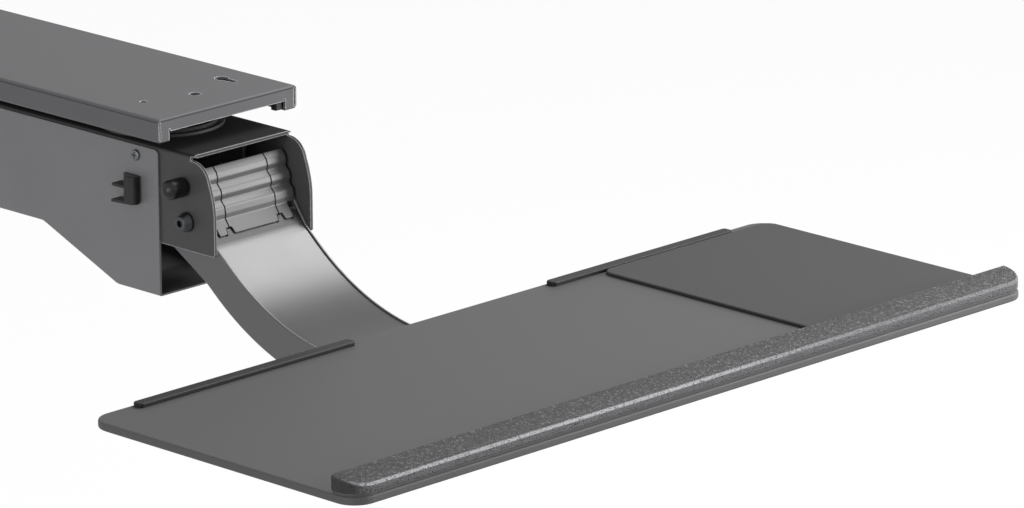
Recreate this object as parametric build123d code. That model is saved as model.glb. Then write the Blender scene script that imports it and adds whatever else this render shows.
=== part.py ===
from build123d import *
from math import asin, cos, radians, sin, tan
import os

# Sit-stand keyboard tray: a track for the underside of a desk, a carriage with a turntable,
# a bracket with its housing, a curved lift arm kept level by a parallel link, and a tilting tray.
# Millimetres and degrees. X runs to the user's right, Y away from the user, Z up.
# The origin is on the track's top face, midway between the two centre screw holes.

# Fits and clearances
running_fit = 0.05
slide_gap = 0.3
hinge_gap = 0.3
cut_over = 1.0

# Track
track_length = 550.0
track_width = 137.0
track_height = 17.5
track_sheet = 2.0
track_bend = 1.2
track_lip = 11.5
flange_height = 10.3
flange_corner_height = 15.5
flange_relief = 1.2
flange_relief_height = 8.5
small_hole_radius = 2.75
small_hole_inset = 45.0
small_hole_aside = 40.0
centre_hole_radius = 4.25
centre_hole_inset = 34.0
keyhole_radius = 5.2
keyhole_slot_radius = 2.75
keyhole_slot_run = 12.0
keyhole_inset = 52.0
keyhole_aside = 43.0

# Rear stop of the track
stop_sheet = 2.5
stop_depth = 18.0
stop_inset = 1.0
stop_screw_share = 0.45
stop_screw_aside = 34.0
stop_buffer_radius = 4.3
stop_buffer_length = 9.0
stop_buffer_aside = 45.0

# Carriage
carriage_inset = 8.0
carriage_length = 142.0
carriage_sheet = 3.0
carriage_half_width = 58.0
carriage_corner = 6.0
glide_length = 30.0
glide_grip = 8.0
glide_edge_radius = 1.2
glide_screw_radius = 1.6
glide_screw_head = 3.2
front_buffer_width = 5.5
front_buffer_height = 13.8
front_buffer_top_gap = 1.0
front_buffer_aside = 53.0
buffer_rounding = 1.0

# Turntable and swivel stud
under_track_gap = 9.5
swivel_inset = 70.0
turntable_radius = 42.0
turntable_inner_radius = 24.0
turntable_sheet = 2.2
turntable_slant = 6.0
bearing_sheet = 2.0
bearing_radius = 46.0
bearing_hole_radius = 16.0
stud_radius = 6.0
stud_head_radius = 11.0
stud_head_height = 3.0
stud_tail = 2.0
stud_nut_flats = 18.0
stud_nut_height = 7.0
washer_sheet = 1.6
stud_washer_radius = 15.0

# Bracket
bracket_width = 97.0
bracket_sheet = 2.5
bracket_bend = 1.0
bracket_top_ahead = 15.3
bracket_back = 215.0
nose_ahead = 36.0
nose_height = 71.3
brow_drop = 4.4
brow_shares = (0.43, 0.111)
temple_shares = (0.73, 0.252)
cheek_shares = (0.913, 0.42)
chin_drop_share = 0.603
chin_radius = 5.0
jaw_radius = 2.0
jaw_run = 100.0
jaw_rise = 17.0
relief_width = 3.0
relief_drop = 2.0

# Housing cover
cover_sheet = 1.5
cover_inset = 20.0
cover_top_drop = 2.5
cover_front_height = 108.5
cover_rear_height = 76.5
cover_flat_length = 46.0
cover_slope_length = 79.0
cover_length = 222.0
cover_top_radius = 4.0
cover_knee_radius = 12.0
cover_edge_radius = 1.2

# Housing screws
cover_screw_radius = 2.0
cover_screw_head_radius = 4.0
cover_screw_head_height = 2.0
cover_screw_length = 5.5
cover_screw_inset = 23.0
cover_screw_drop = 10.0
cover_rear_screw_inset = 190.0
cover_rear_screw_drop = 22.0
recess_width = 1.1
recess_reach = 2.6
recess_depth = 1.3

# Cable clip on the left of the housing
clip_inset = 17.5
clip_drop = 25.0
clip_height = 20.0
clip_length = 17.0
clip_sheet = 2.0
clip_reach = 9.0
clip_front_length = 9.5
clip_corner = 4.0
clip_edge_radius = 3.0
clip_shelf_drop = 7.0
clip_shelf_length = 22.0
clip_prong_length = 23.0
clip_prong_drop = 1.2

# Arm pivot and its bolt
pivot_ahead = 8.2
pivot_drop = 50.0
pivot_bolt_radius = 4.0
pivot_head_radius = 7.2
pivot_head_tip_radius = 5.0
pivot_head_height = 8.0
pivot_head_rim = 2.0
pivot_head_rounding = 0.8
pivot_socket_flats = 5.0
pivot_socket_depth = 4.0
pivot_nut_flats = 13.0
pivot_nut_height = 8.0
pivot_bolt_tail = 1.5
pivot_washer_radius = 8.0
pivot_tube_radius = 6.4
bush_flange_sheet = 0.8
bush_flange_radius = 9.0
bush_radius = 5.2
bush_length = 10.0

# Lock knob on the left of the bracket
knob_ahead = 5.0
knob_drop = 24.5
knob_radius = 7.2
knob_neck_radius = 6.0
knob_neck = 1.5
knob_length = 19.5
knob_dome = 5.8
knob_stud_radius = 3.0
knob_stud_depth = 7.0
knob_seat_gap = 0.3

# Curved arm
arm_straight_reach = 91.856
arm_straight_fall = 37.294
arm_half_width = 45.0
arm_sheet = 1.8
arm_depth = 28.0
arm_slope = 39.5
arm_bend_radius = 187.0
arm_top_over_pivot = 3.7
arm_top_over_head = 9.3
arm_end_ahead = 14.0
arm_end_top_radius = 8.0
arm_end_bottom_radius = 12.0
arm_bottom_edge_radius = 1.5
tail_behind = 21.0
tail_drop = 22.5
tail_radius = 6.0
tail_top_drop = 2.0
belly_ahead = 14.0
belly_drop = 43.2
belly_radius = 60.0
ear_ahead = 1.3
ear_back = 4.0
ear_top = 33.0
ear_radius = 2.0
ear_shares = (0.62, 0.5)
web_start = 30.0
bridge_start_share = 0.2
bridge_run = 44.0
bridge_gap = 0.3
bridge_sheet = 1.5
web_end_gap = 24.0

# Arm top cover and curl cover
cover_plate_sheet = 1.4
cover_plate_inset = 1.1
cover_plate_gap = 0.9
cover_plate_end_gap = 24.0
crease_ahead = 13.8
crease_level = 0.0
lip_slope = 54.4
lip_length = 19.8
lip_bend_radius = 22.0
tab_line_share = 0.59
finger_line_share = 0.33
tab_gap = 0.9
finger_inner = 22.2
finger_width = 5.4
finger_slant = 1.2
lip_half_width = 36.0
curl_half_width = 43.0
curl_seam = 24.5
curl_seam_gap = 0.9
curl_sheet = 1.6
curl_height = 36.3
curl_depth = 12.5
curl_reach_shares = (-0.02, 0.04, 0.36, 0.27, 0.36, 0.66, 0.58, 0.70, 1.0)
curl_height_shares = (0.10, 0.24, 0.35, 0.46, 0.57, 0.67, 0.78, 0.90, 1.0)
curl_radius = 1.8

# Parallel link
link_offset = 13.0
link_sheet = 3.0
link_aside = 26.7
link_bar_half_depth = 3.6
link_eye_radius = 5.2
link_bend_share = 0.8
link_pin_radius = 2.5
link_pin_head_radius = 4.4
link_pin_head_height = 1.4
link_open_clearance = 0.35
anchor_sheet = 3.0
anchor_gap = 0.3
anchor_back = 46.0
anchor_front = 16.5
anchor_eye_radius = 6.0
anchor_neck = 9.2
anchor_waist = 7.4
anchor_arm_half_depth = 4.5
anchor_foot_sheet = 2.5

# Gas spring
spring_lever = 22.0
spring_lever_angle = -87.5
spring_back = 208.2
spring_rise = 5.0
lever_aside = 8.6
lever_sheet = 3.0
lever_eye_radius = 6.0
spring_pin_radius = 3.0
spring_pin_head_radius = 4.6
spring_pin_head_height = 1.5
spring_eye_radius = 7.0
spring_eye_half_width = 5.0
rod_eye_run = 14.0
spring_open_clearance = 1.5
rear_pin_radius = 4.0
rear_eye_radius = 8.0
rear_spacer_radius = 6.5
rear_pin_cap_radius = 6.5
rear_pin_cap_height = 1.2
cylinder_radius = 11.0
cylinder_wall = 1.5
cylinder_floor = 3.0
cylinder_length = 118.0
cylinder_start = 13.0
gland_length = 6.0
rod_radius = 4.0
rod_inside = 70.0
piston_length = 8.0

# Head on the arm's end
head_lug_aside = 30.4
head_lug_sheet = 3.0
head_lug_radius = 9.0
head_lower_radius = 5.6
head_web_half_depth = 8.1
head_lower_half_depth = 4.5
head_pin_radius = 4.0
head_pin_head_radius = 7.0
head_pin_head_height = 1.6
head_tube_radius = 7.0
tilt_ahead = 17.0
tilt_rise = 24.0
tilt_lug_radius = 9.5
tilt_tube_radius = 8.2
tilt_bolt_radius = 4.0
tilt_bolt_head_height = 5.0
tilt_bolt_head_flats = 13.0
tilt_bolt_tail = 12.0
tilt_washer_radius = 9.0

# Tilt knob
tilt_knob_radius = 9.6
tilt_knob_length = 16.0
tilt_knob_hub_radius = 6.8
tilt_knob_hub_length = 6.0
tilt_knob_gap = 0.4
tilt_knob_lobes = 8
tilt_knob_notch_radius = 2.4
tilt_knob_notch_out = 0.8
tilt_knob_rounding = 1.0

# Tray bracket
tray_lug_sheet = 2.5
tray_lug_gap = 0.3
tray_plate_sheet = 2.0
tray_plate_half_width = 85.0
tray_plate_behind = 8.0
tray_plate_length = 150.0
tray_plate_corner = 12.0
tray_lug_flare = 14.0
tray_lug_round_share = 0.9
tray_screw_radius = 2.0
tray_screw_head_radius = 4.2
tray_screw_head_height = 1.8
tray_screw_depth = 4.5
tray_screw_inset = 12.0

# Tray board
board_width = 664.0
board_depth = 256.0
board_sheet = 6.0
board_corner = 17.0
board_edge_radius = 1.6
board_over_tilt = 13.0
board_behind_tilt = 23.0

# Rear lips on the board
lip_bar_width = 9.0
lip_bar_height = 3.2
lip_bar_inset = 1.5
left_lip_inset = 39.0
left_lip_length = 202.0
right_lip_inset = 42.0
right_lip_length = 186.0
lip_bar_end_radius = 3.0
lip_bar_rounding = 1.0

# Palm rest and mouse mat
palm_depth = 23.0
palm_base_sheet = 1.8
palm_rear_height = 15.0
palm_front_height = 8.8
palm_crown = 0.8
palm_side_inset = 0.4
palm_base_inset = 1.2
palm_rear_radius = 3.2
palm_front_radius = 2.2
mat_sheet = 2.5
mat_width = 175.0
mat_right_inset = 6.0
mat_rear_inset = 11.0
mat_palm_gap = 0.6
mat_corner = 10.0
mat_edge_radius = 0.6

# Places that follow from the sizes
track_front = -track_length / 2
track_back = track_length / 2
bracket_top = -track_height - under_track_gap
bracket_under = bracket_top - bracket_sheet
bracket_half = bracket_width / 2
bracket_inner = bracket_half - bracket_sheet
swivel_y = track_front + swivel_inset
pivot = Vector(track_front - pivot_ahead, bracket_top - pivot_drop)
arm_turn = radians(arm_slope)
arm_bend_run = arm_bend_radius * tan(arm_turn / 2)
arm_reach = arm_straight_reach + arm_bend_run * (1 + cos(arm_turn))
arm_fall = arm_straight_fall + arm_bend_run * sin(arm_turn)
head = pivot + Vector(-arm_reach, -arm_fall)
tilt = head + Vector(-tilt_ahead, tilt_rise)
board_bottom = tilt.Y + board_over_tilt
board_top = board_bottom + board_sheet
board_rear = tilt.X + board_behind_tilt
board_front = board_rear - board_depth
board_middle = (board_rear + board_front) / 2


# Shape helpers
def corner_arc(before, corner, after, radius):
    """Start, middle and end of the arc that rounds a corner."""
    to_before = (before - corner).normalized()
    to_after = (after - corner).normalized()
    half_angle = radians(to_before.get_angle(to_after)) / 2
    bisector = (to_before + to_after).normalized()
    centre = corner + bisector * (radius / sin(half_angle))
    setback = radius / tan(half_angle)
    return corner + to_before * setback, centre - bisector * radius, corner + to_after * setback


def path_edges(points, radii):
    """Edges of an open path of straight runs, with each inner corner rounded by its radius."""
    edges = []
    here = points[0]
    for before, corner, after, radius in zip(points, points[1:], points[2:], radii):
        if radius == 0:
            edges.append(Edge.make_line(here, corner))
            here = corner
            continue
        start, middle, end = corner_arc(before, corner, after, radius)
        edges.append(Edge.make_line(here, start))
        edges.append(Edge.make_three_point_arc(start, middle, end))
        here = end
    edges.append(Edge.make_line(here, points[-1]))
    return edges


def outline(*corners):
    """Closed face from corners, each with its place and an optional radius."""
    corners = [tuple(corner) for corner in corners]
    points = [Vector(corner[0], corner[1]) for corner in corners]
    radii = [corner[2] if len(corner) > 2 else 0 for corner in corners]
    start = (points[-1] + points[0]) * 0.5
    return make_face(path_edges([start] + points + [start], radii))


def rounded(point, radius):
    """Outline corner at a point with its radius."""
    return point.X, point.Y, radius


def offset_points(points, distance):
    """Points of the path that runs beside the given one, at a distance to its right."""
    steps = [(after - before).normalized() for before, after in zip(points, points[1:])]
    rights = [Vector(step.Y, -step.X) for step in steps]
    beside = [points[0] + rights[0] * distance]
    for point, one, other in zip(points[1:], rights, rights[1:]):
        beside.append(point + (one + other) * (distance / (1 + one.dot(other))))
    return beside + [points[-1] + rights[-1] * distance]


def bent_strip(points, thickness, inner_radii):
    """Profile of a folded sheet whose one face follows the points and whose body lies to their right."""
    points = [Vector(*tuple(point)) for point in points]
    beside = offset_points(points, thickness)
    near = []
    far = []
    for before, corner, after, radius in zip(points, points[1:], points[2:], inner_radii):
        turn = (corner - before).cross(after - corner).Z
        near.append(radius + thickness if turn < 0 else radius)
        far.append(radius if turn < 0 else radius + thickness)
    edges = path_edges(points, near)
    edges += [Edge.make_line(points[-1], beside[-1])]
    edges += path_edges(beside[::-1], far[::-1])
    edges += [Edge.make_line(beside[0], points[0])]
    return make_face(edges)


def prism_x(face, low, high):
    """Push a face drawn in Y and Z along X."""
    return extrude(Plane.YZ.offset(low) * face, amount=high - low)


def prism_y(face, low, high):
    """Push a face drawn in X and Z along Y."""
    return extrude(Plane.XZ.offset(-high) * face, amount=high - low)


def prism_z(face, low, high):
    """Push a face drawn in X and Y along Z."""
    return extrude(Plane.XY.offset(low) * face, amount=high - low)


def block(x, y, z):
    """Block between two limits along each axis."""
    size = [high - low for low, high in (x, y, z)]
    middle = [(high + low) / 2 for low, high in (x, y, z)]
    return Pos(*middle) * Box(*size)


def rod_x(place, radius, low, high):
    """Round bar along X at a place in Y and Z."""
    return prism_x(Pos(place.X, place.Y) * Circle(radius), low, high)


def tube_x(place, radius, hole, low, high):
    """Round tube along X at a place in Y and Z."""
    return prism_x(Pos(place.X, place.Y) * (Circle(radius) - Circle(hole)), low, high)


def rod_z(x, y, radius, low, high):
    """Round bar along Z."""
    return prism_z(Pos(x, y) * Circle(radius), low, high)


def turned(*points):
    """Solid of revolution about Z from radius and height points."""
    return revolve(Plane.XZ * make_face(Polyline(*points, close=True)), axis=Axis.Z)


def stand(origin, direction):
    """Plane whose normal runs along a direction."""
    return Plane(origin=origin, z_dir=direction)


def both_sides(shape):
    """A shape on the right and its mirror image on the left."""
    return [shape, mirror(shape, about=Plane.YZ)]


def hexagon(flats):
    """Hexagon measured across its flats."""
    return RegularPolygon(flats / 2, side_count=6, major_radius=False)


def cross_recess(depth):
    """Cross-shaped driver recess that goes down from the origin."""
    arm = Box(2 * recess_reach, recess_width, 2 * depth)
    return arm + Rot(0, 0, 90) * arm


def pan_screw(radius, length, head_radius, head_height):
    """Cross-recessed screw along Z with its shank below the origin."""
    rounding = head_height / 2
    head_shape = fillet(rod_z(0, 0, head_radius, 0, head_height).edges().group_by(Axis.Z)[-1], rounding)
    recess = Pos(0, 0, head_height) * cross_recess(recess_depth)
    return head_shape + rod_z(0, 0, radius, -length, 0) - recess


def between(first, second, half_depth):
    """Bar outline from one place to another."""
    along = (second - first).normalized()
    aside = Vector(-along.Y, along.X) * half_depth
    return outline(first + aside, second + aside, second - aside, first - aside)


# Track pieces
def make_track():
    half = track_width / 2
    inner_edge = half - track_lip
    path = [(-inner_edge, -track_height), (-half, -track_height), (-half, 0)]
    path += [(half, 0), (half, -track_height), (inner_edge, -track_height)]
    channel = prism_y(bent_strip(path, track_sheet, [track_bend] * 4), track_front, track_back)
    side = half - track_sheet - track_bend
    face = outline((-side, 0), (side, 0), (side, -flange_corner_height), (inner_edge, -flange_corner_height),
                   (inner_edge, -flange_height), (-inner_edge, -flange_height),
                   (-inner_edge, -flange_corner_height), (-side, -flange_corner_height))
    flange = prism_y(face, track_front, track_front + track_sheet)
    body = channel + flange
    body = fillet(body.edges().filter_by(Axis.X).group_by(Axis.Y)[0].sort_by(Axis.Z)[-1], track_bend)
    relief = (inner_edge - flange_relief, inner_edge)
    slot = block(relief, (track_front - cut_over, track_front + track_sheet + cut_over),
                 (-flange_corner_height - cut_over, -flange_relief_height))
    body -= both_sides(slot)
    holes = []
    for end in (-1, 1):
        small_y = end * (track_back - small_hole_inset)
        centre_y = end * (track_back - centre_hole_inset)
        key_y = end * (track_back - keyhole_inset)
        through = (-track_sheet - cut_over, cut_over)
        holes.append(rod_z(-small_hole_aside, small_y, small_hole_radius, *through))
        holes.append(rod_z(0, centre_y, centre_hole_radius, *through))
        holes.append(rod_z(keyhole_aside, key_y, keyhole_radius, *through))
        holes.append(rod_z(keyhole_aside, key_y - keyhole_slot_run, keyhole_slot_radius, *through))
        slot_x = (keyhole_aside - keyhole_slot_radius, keyhole_aside + keyhole_slot_radius)
        holes.append(block(slot_x, (key_y - keyhole_slot_run, key_y), through))
    for x in (-stop_screw_aside, stop_screw_aside):
        holes.append(rod_z(x, stop_screw_y, cover_screw_radius + running_fit, *through))
    return body - holes


stop_screw_y = track_back - stop_inset - stop_depth * stop_screw_share


def make_rear_stop():
    half = track_width / 2 - track_lip
    back = track_back - stop_inset
    top = -track_sheet
    path = [(back - stop_depth, top), (back, top), (back, -flange_corner_height)]
    shape = prism_x(bent_strip(path, stop_sheet, [track_bend]), -half, half)
    for x in (-stop_screw_aside, stop_screw_aside):
        shape -= rod_z(x, stop_screw_y, cover_screw_radius, top - stop_sheet - cut_over, top + cut_over)
    return shape


def make_rear_stop_screws():
    screw = pan_screw(cover_screw_radius, stop_sheet + track_sheet, cover_screw_head_radius,
                      cover_screw_head_height)
    seat = -track_sheet - stop_sheet
    return [stand((x, stop_screw_y, seat), (0, 0, -1)) * screw for x in (-stop_screw_aside, stop_screw_aside)]


def make_rear_buffers():
    face_y = track_back - stop_inset - stop_sheet
    z = (-track_sheet - stop_sheet - track_bend - flange_corner_height) / 2
    pad = rod_z(0, 0, stop_buffer_radius, 0, stop_buffer_length)
    pad = fillet(pad.edges().group_by(Axis.Z)[-1], buffer_rounding)
    return [stand((x, face_y, z), (0, -1, 0)) * pad for x in (-stop_buffer_aside, stop_buffer_aside)]


# Carriage pieces
glide_top = -track_sheet - slide_gap
glide_bottom = -track_height + track_sheet + slide_gap
plate_middle = (glide_top + glide_bottom) / 2
plate_top = plate_middle + carriage_sheet / 2
plate_bottom = plate_middle - carriage_sheet / 2
carriage_front = track_front + carriage_inset
carriage_back = carriage_front + carriage_length
glide_outer = track_width / 2 - track_sheet - slide_gap
glide_inner = carriage_half_width - glide_grip
glide_places = [carriage_front + glide_length / 2 + carriage_corner,
                carriage_back - glide_length / 2 - carriage_corner]
glide_screw_x = glide_inner + glide_grip / 2


def make_carriage_plate():
    middle = (carriage_front + carriage_back) / 2
    face = Pos(0, middle) * RectangleRounded(2 * carriage_half_width, carriage_length, carriage_corner)
    plate = prism_z(face, plate_bottom, plate_top)
    plate -= rod_z(0, swivel_y, stud_radius, plate_bottom - cut_over, plate_top + cut_over)
    for y in glide_places:
        for x in (-glide_screw_x, glide_screw_x):
            plate -= rod_z(x, y, glide_screw_radius, plate_bottom - cut_over, plate_top + cut_over)
    return plate


def make_carriage_glides():
    glides = []
    for y in glide_places:
        y_limits = (y - glide_length / 2, y + glide_length / 2)
        glide = block((glide_inner, glide_outer), y_limits, (glide_bottom, glide_top))
        glide = fillet(glide.edges().group_by(Axis.X)[-1], glide_edge_radius)
        glide -= block((glide_inner - cut_over, carriage_half_width), (y - glide_length, y + glide_length),
                       (plate_bottom, plate_top))
        glide -= rod_z(glide_screw_x, y, glide_screw_radius, glide_bottom - cut_over, plate_middle)
        glide -= rod_z(glide_screw_x, y, glide_screw_head, glide_bottom - cut_over,
                       glide_bottom + cover_screw_head_height)
        glides += both_sides(glide)
    return glides


def make_glide_screws():
    screws = []
    seat = glide_bottom + cover_screw_head_height
    head_radius = glide_screw_head - running_fit
    for y in glide_places:
        screw = rod_z(glide_screw_x, y, glide_screw_radius, seat, plate_top)
        screw += rod_z(glide_screw_x, y, head_radius, glide_bottom + slide_gap, seat)
        screws += both_sides(screw)
    return screws


def make_front_buffer():
    x_limits = (front_buffer_aside - front_buffer_width / 2, front_buffer_aside + front_buffer_width / 2)
    top = -track_sheet - front_buffer_top_gap
    y_limits = (track_front + track_sheet + slide_gap, carriage_front)
    shape = block(x_limits, y_limits, (top - front_buffer_height, top))
    return fillet(shape.edges().filter_by(Axis.X).group_by(Axis.Y)[0], buffer_rounding)


def make_turntable_ring():
    top = plate_bottom
    bottom = bracket_top + bearing_sheet + hinge_gap
    foot = turntable_inner_radius + turntable_slant
    path = [(stud_radius, top), (turntable_inner_radius, top), (foot, bottom + turntable_sheet),
            (turntable_radius, bottom + turntable_sheet)]
    face = bent_strip(path, turntable_sheet, [turntable_sheet, turntable_sheet])
    return revolve(Plane.XZ.offset(-swivel_y) * face, axis=Axis((0, swivel_y, 0), (0, 0, 1)))


def make_swivel_stud():
    low = bracket_under - washer_sheet - stud_nut_height - stud_tail
    shape = rod_z(0, swivel_y, stud_radius, low, plate_top)
    head_shape = rod_z(0, swivel_y, stud_head_radius, plate_top, plate_top + stud_head_height)
    return shape + head_shape


def make_swivel_washer():
    face = Circle(stud_washer_radius) - Circle(stud_radius)
    seat = bracket_under - hinge_gap
    return prism_z(Pos(0, swivel_y) * face, seat - washer_sheet, seat)


def make_swivel_nut():
    seat = bracket_under - hinge_gap - washer_sheet
    face = hexagon(stud_nut_flats) - Circle(stud_radius)
    return prism_z(Pos(0, swivel_y) * face, seat - stud_nut_height, seat)


def make_bearing_ring():
    face = Circle(bearing_radius) - Circle(bearing_hole_radius)
    return prism_z(Pos(0, swivel_y) * face, bracket_top, bracket_top + bearing_sheet)


# Bracket
nose_y = track_front - nose_ahead
brow_y = track_front - bracket_top_ahead
bracket_back_y = track_front + bracket_back
cover_front_y = track_front + cover_inset
cover_top = bracket_top - cover_top_drop
cover_outer = bracket_half + cover_sheet
cover_screw_y = cover_front_y + cover_screw_inset
cover_screw_z = bracket_top - cover_screw_drop
cover_rear_screw_y = cover_front_y + cover_rear_screw_inset
cover_rear_screw_z = cover_top - cover_rear_screw_drop
spring_anchor = pivot + Vector(spring_back, spring_rise)
link_step = Vector(arm_fall, -arm_reach).normalized() * link_offset
link_rear = pivot + link_step
link_front = head + link_step
knob_place = Vector(track_front - knob_ahead, bracket_top - knob_drop)


def nose_point(ahead_share, drop_share):
    """Place on the curved front of the bracket's side plate."""
    ahead = nose_ahead - bracket_top_ahead
    return Vector(brow_y - ahead * ahead_share, bracket_top - nose_height * drop_share)


def bracket_side_outline():
    """Side view of the bracket, with the curved nose that stands ahead of its top plate."""
    start = Vector(brow_y, bracket_top - brow_drop)
    brow = nose_point(*brow_shares)
    temple = nose_point(*temple_shares)
    cheek = nose_point(*cheek_shares)
    chin = Vector(nose_y, bracket_top - nose_height * chin_drop_share)
    bottom = bracket_top - nose_height
    edges = [Edge.make_line((brow_y, bracket_top), start)]
    edges.append(Edge.make_three_point_arc(start, brow, temple))
    edges.append(Edge.make_three_point_arc(temple, cheek, chin))
    jaw = Vector(nose_y, bottom)
    step_y = track_front + jaw_run
    rest = [chin, jaw, Vector(step_y, bottom), Vector(step_y + jaw_rise, bottom + jaw_rise),
            Vector(bracket_back_y, bottom + jaw_rise), Vector(bracket_back_y, bracket_top),
            Vector(brow_y, bracket_top)]
    edges += path_edges(rest, [jaw_radius, chin_radius, chin_radius, chin_radius, 0])
    return make_face(edges)


def make_bracket():
    low = bracket_top - nose_height - cut_over
    path = [(-bracket_half, low), (-bracket_half, bracket_top)]
    path += [(bracket_half, bracket_top), (bracket_half, low)]
    channel = prism_y(bent_strip(path, bracket_sheet, [bracket_bend] * 2), brow_y, bracket_back_y)
    nose_limits = (nose_y - cut_over, brow_y)
    nose = block((bracket_inner, bracket_half), nose_limits, (low, bracket_top))
    blank = channel + both_sides(nose)
    body = blank & prism_x(bracket_side_outline(), -bracket_width, bracket_width)
    relief_x = (bracket_inner - cut_over, bracket_half + cut_over)
    relief_top = bracket_under - bracket_bend + relief_drop
    relief_y = (brow_y - cut_over, brow_y + relief_width)
    relief = block(relief_x, relief_y, (bracket_top - brow_drop, relief_top))
    body -= both_sides(relief)
    body -= rod_z(0, swivel_y, stud_radius + running_fit, bracket_under - cut_over, bracket_top + cut_over)
    across = (-bracket_width, bracket_width)
    body -= rod_x(pivot, pivot_bolt_radius + running_fit, *across)
    body -= rod_x(spring_anchor, rear_pin_radius + running_fit, *across)
    body -= rod_x(knob_place, knob_stud_radius + running_fit, -bracket_width, 0)
    for y, z in ((cover_screw_y, cover_screw_z), (cover_rear_screw_y, cover_rear_screw_z)):
        body -= rod_x(Vector(y, z), cover_screw_radius, *across)
    for y in anchor_screw_ys:
        body -= [rod_z(x, y, cover_screw_radius, bracket_under - cut_over, bracket_top + cut_over)
                 for x in (-anchor_screw_x, anchor_screw_x)]
    return body


# Housing cover and what is fixed to it
def make_housing_cover():
    bottom = cover_top - cover_front_height
    rear_bottom = cover_top - cover_rear_height
    flat_end = cover_front_y + cover_flat_length
    slope_end = flat_end + cover_slope_length
    back = cover_front_y + cover_length
    shape = outline((cover_front_y, cover_top, cover_top_radius), (cover_front_y, bottom),
                    (flat_end, bottom, cover_knee_radius), (slope_end, rear_bottom, cover_knee_radius),
                    (back, rear_bottom, cover_knee_radius), (back, cover_top))
    body = prism_x(shape, -cover_outer, cover_outer)
    body = fillet([edge for edge in body.edges() if is_low_cover_edge(edge)], cover_edge_radius)
    start = cover_front_y - cut_over
    wall = cover_sheet
    slope = Vector(cover_slope_length, rear_bottom - bottom)
    shift = wall * tan(radians(slope.get_angle(Vector(1, 0))) / 2)
    inside = outline((start, cover_top + cut_over), (start, bottom + wall),
                     (flat_end - shift, bottom + wall, cover_knee_radius + wall),
                     (slope_end - shift, rear_bottom + wall, cover_knee_radius - wall),
                     (back - wall, rear_bottom + wall, cover_knee_radius - wall),
                     (back - wall, cover_top + cut_over))
    body -= prism_x(inside, -bracket_half, bracket_half)
    across = (-bracket_width, bracket_width)
    for y, z in ((cover_screw_y, cover_screw_z), (cover_rear_screw_y, cover_rear_screw_z)):
        body -= rod_x(Vector(y, z), cover_screw_radius + running_fit, *across)
    return body


def is_low_cover_edge(edge):
    """True for the long edges round the cover's sides and belly, not its open front."""
    middle = edge.center()
    beside = abs(middle.X) > bracket_half
    return beside and middle.Z < cover_top - cover_top_radius and middle.Y > cover_front_y


def make_cover_screws():
    screw = pan_screw(cover_screw_radius, cover_screw_length, cover_screw_head_radius,
                      cover_screw_head_height)
    screws = []
    for y, z in ((cover_screw_y, cover_screw_z), (cover_rear_screw_y, cover_rear_screw_z)):
        screws += both_sides(stand((cover_outer, y, z), (1, 0, 0)) * screw)
    return screws


def make_cable_clip():
    top = bracket_top - clip_drop
    bottom = top - clip_height
    front = cover_front_y + clip_inset
    back = front + clip_length
    outer = -cover_outer - clip_reach
    path = [(-cover_outer, back), (-cover_outer, front), (outer, front), (outer, front + clip_front_length)]
    body = prism_z(bent_strip(path, clip_sheet, [clip_corner - clip_sheet] * 2), bottom, top)
    corners = body.edges().filter_by(Axis.X).group_by(Axis.X)[0]
    body = fillet(corners, clip_edge_radius)
    shelf = block((outer, -cover_outer), (front + clip_corner, front + clip_shelf_length),
                  (top - clip_shelf_drop - clip_sheet, top - clip_shelf_drop))
    prong_end = Vector(front + clip_prong_length, bottom - clip_prong_drop)
    prong_face = outline((front + clip_corner, bottom), prong_end, prong_end + Vector(0, clip_sheet),
                         (front + clip_corner, bottom + clip_sheet))
    return body + shelf + prism_x(prong_face, outer, -cover_outer)


# Pivot hardware
def make_pivot_bolt():
    body = rod_x(pivot, pivot_bolt_radius, -bracket_half, bolt_end)
    head_shape = turned((0, 0), (pivot_head_radius, 0), (pivot_head_radius, pivot_head_rim),
                        (pivot_head_tip_radius, pivot_head_height), (0, pivot_head_height))
    head_shape = fillet(head_shape.edges().sort_by(Axis.Z)[-1], pivot_head_rounding)
    socket = prism_z(hexagon(pivot_socket_flats), pivot_head_height - pivot_socket_depth,
                     pivot_head_height + cut_over)
    return body + stand((-bracket_half, pivot.X, pivot.Y), (-1, 0, 0)) * (head_shape - socket)


bolt_end = bracket_half + washer_sheet + pivot_nut_height + pivot_bolt_tail


def make_pivot_washer():
    return tube_x(pivot, pivot_washer_radius, pivot_bolt_radius, bracket_half, bracket_half + washer_sheet)


def make_pivot_nut():
    seat = bracket_half + washer_sheet
    face = hexagon(pivot_nut_flats) - Circle(pivot_bolt_radius)
    return prism_x(Pos(pivot.X, pivot.Y) * face, seat, seat + pivot_nut_height)


def make_pivot_bushes():
    inner = arm_half_width - bush_length
    outer = arm_half_width + bush_flange_sheet
    hole = pivot_bolt_radius + running_fit
    bush = tube_x(pivot, bush_radius, hole, inner, outer)
    bush += tube_x(pivot, bush_flange_radius, hole, arm_half_width, outer)
    return both_sides(bush)


def make_pivot_tube():
    body = rod_x(pivot, pivot_tube_radius, -arm_inner, arm_inner)
    body -= rod_x(pivot, bush_radius, -arm_half_width, arm_half_width)
    return body


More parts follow.
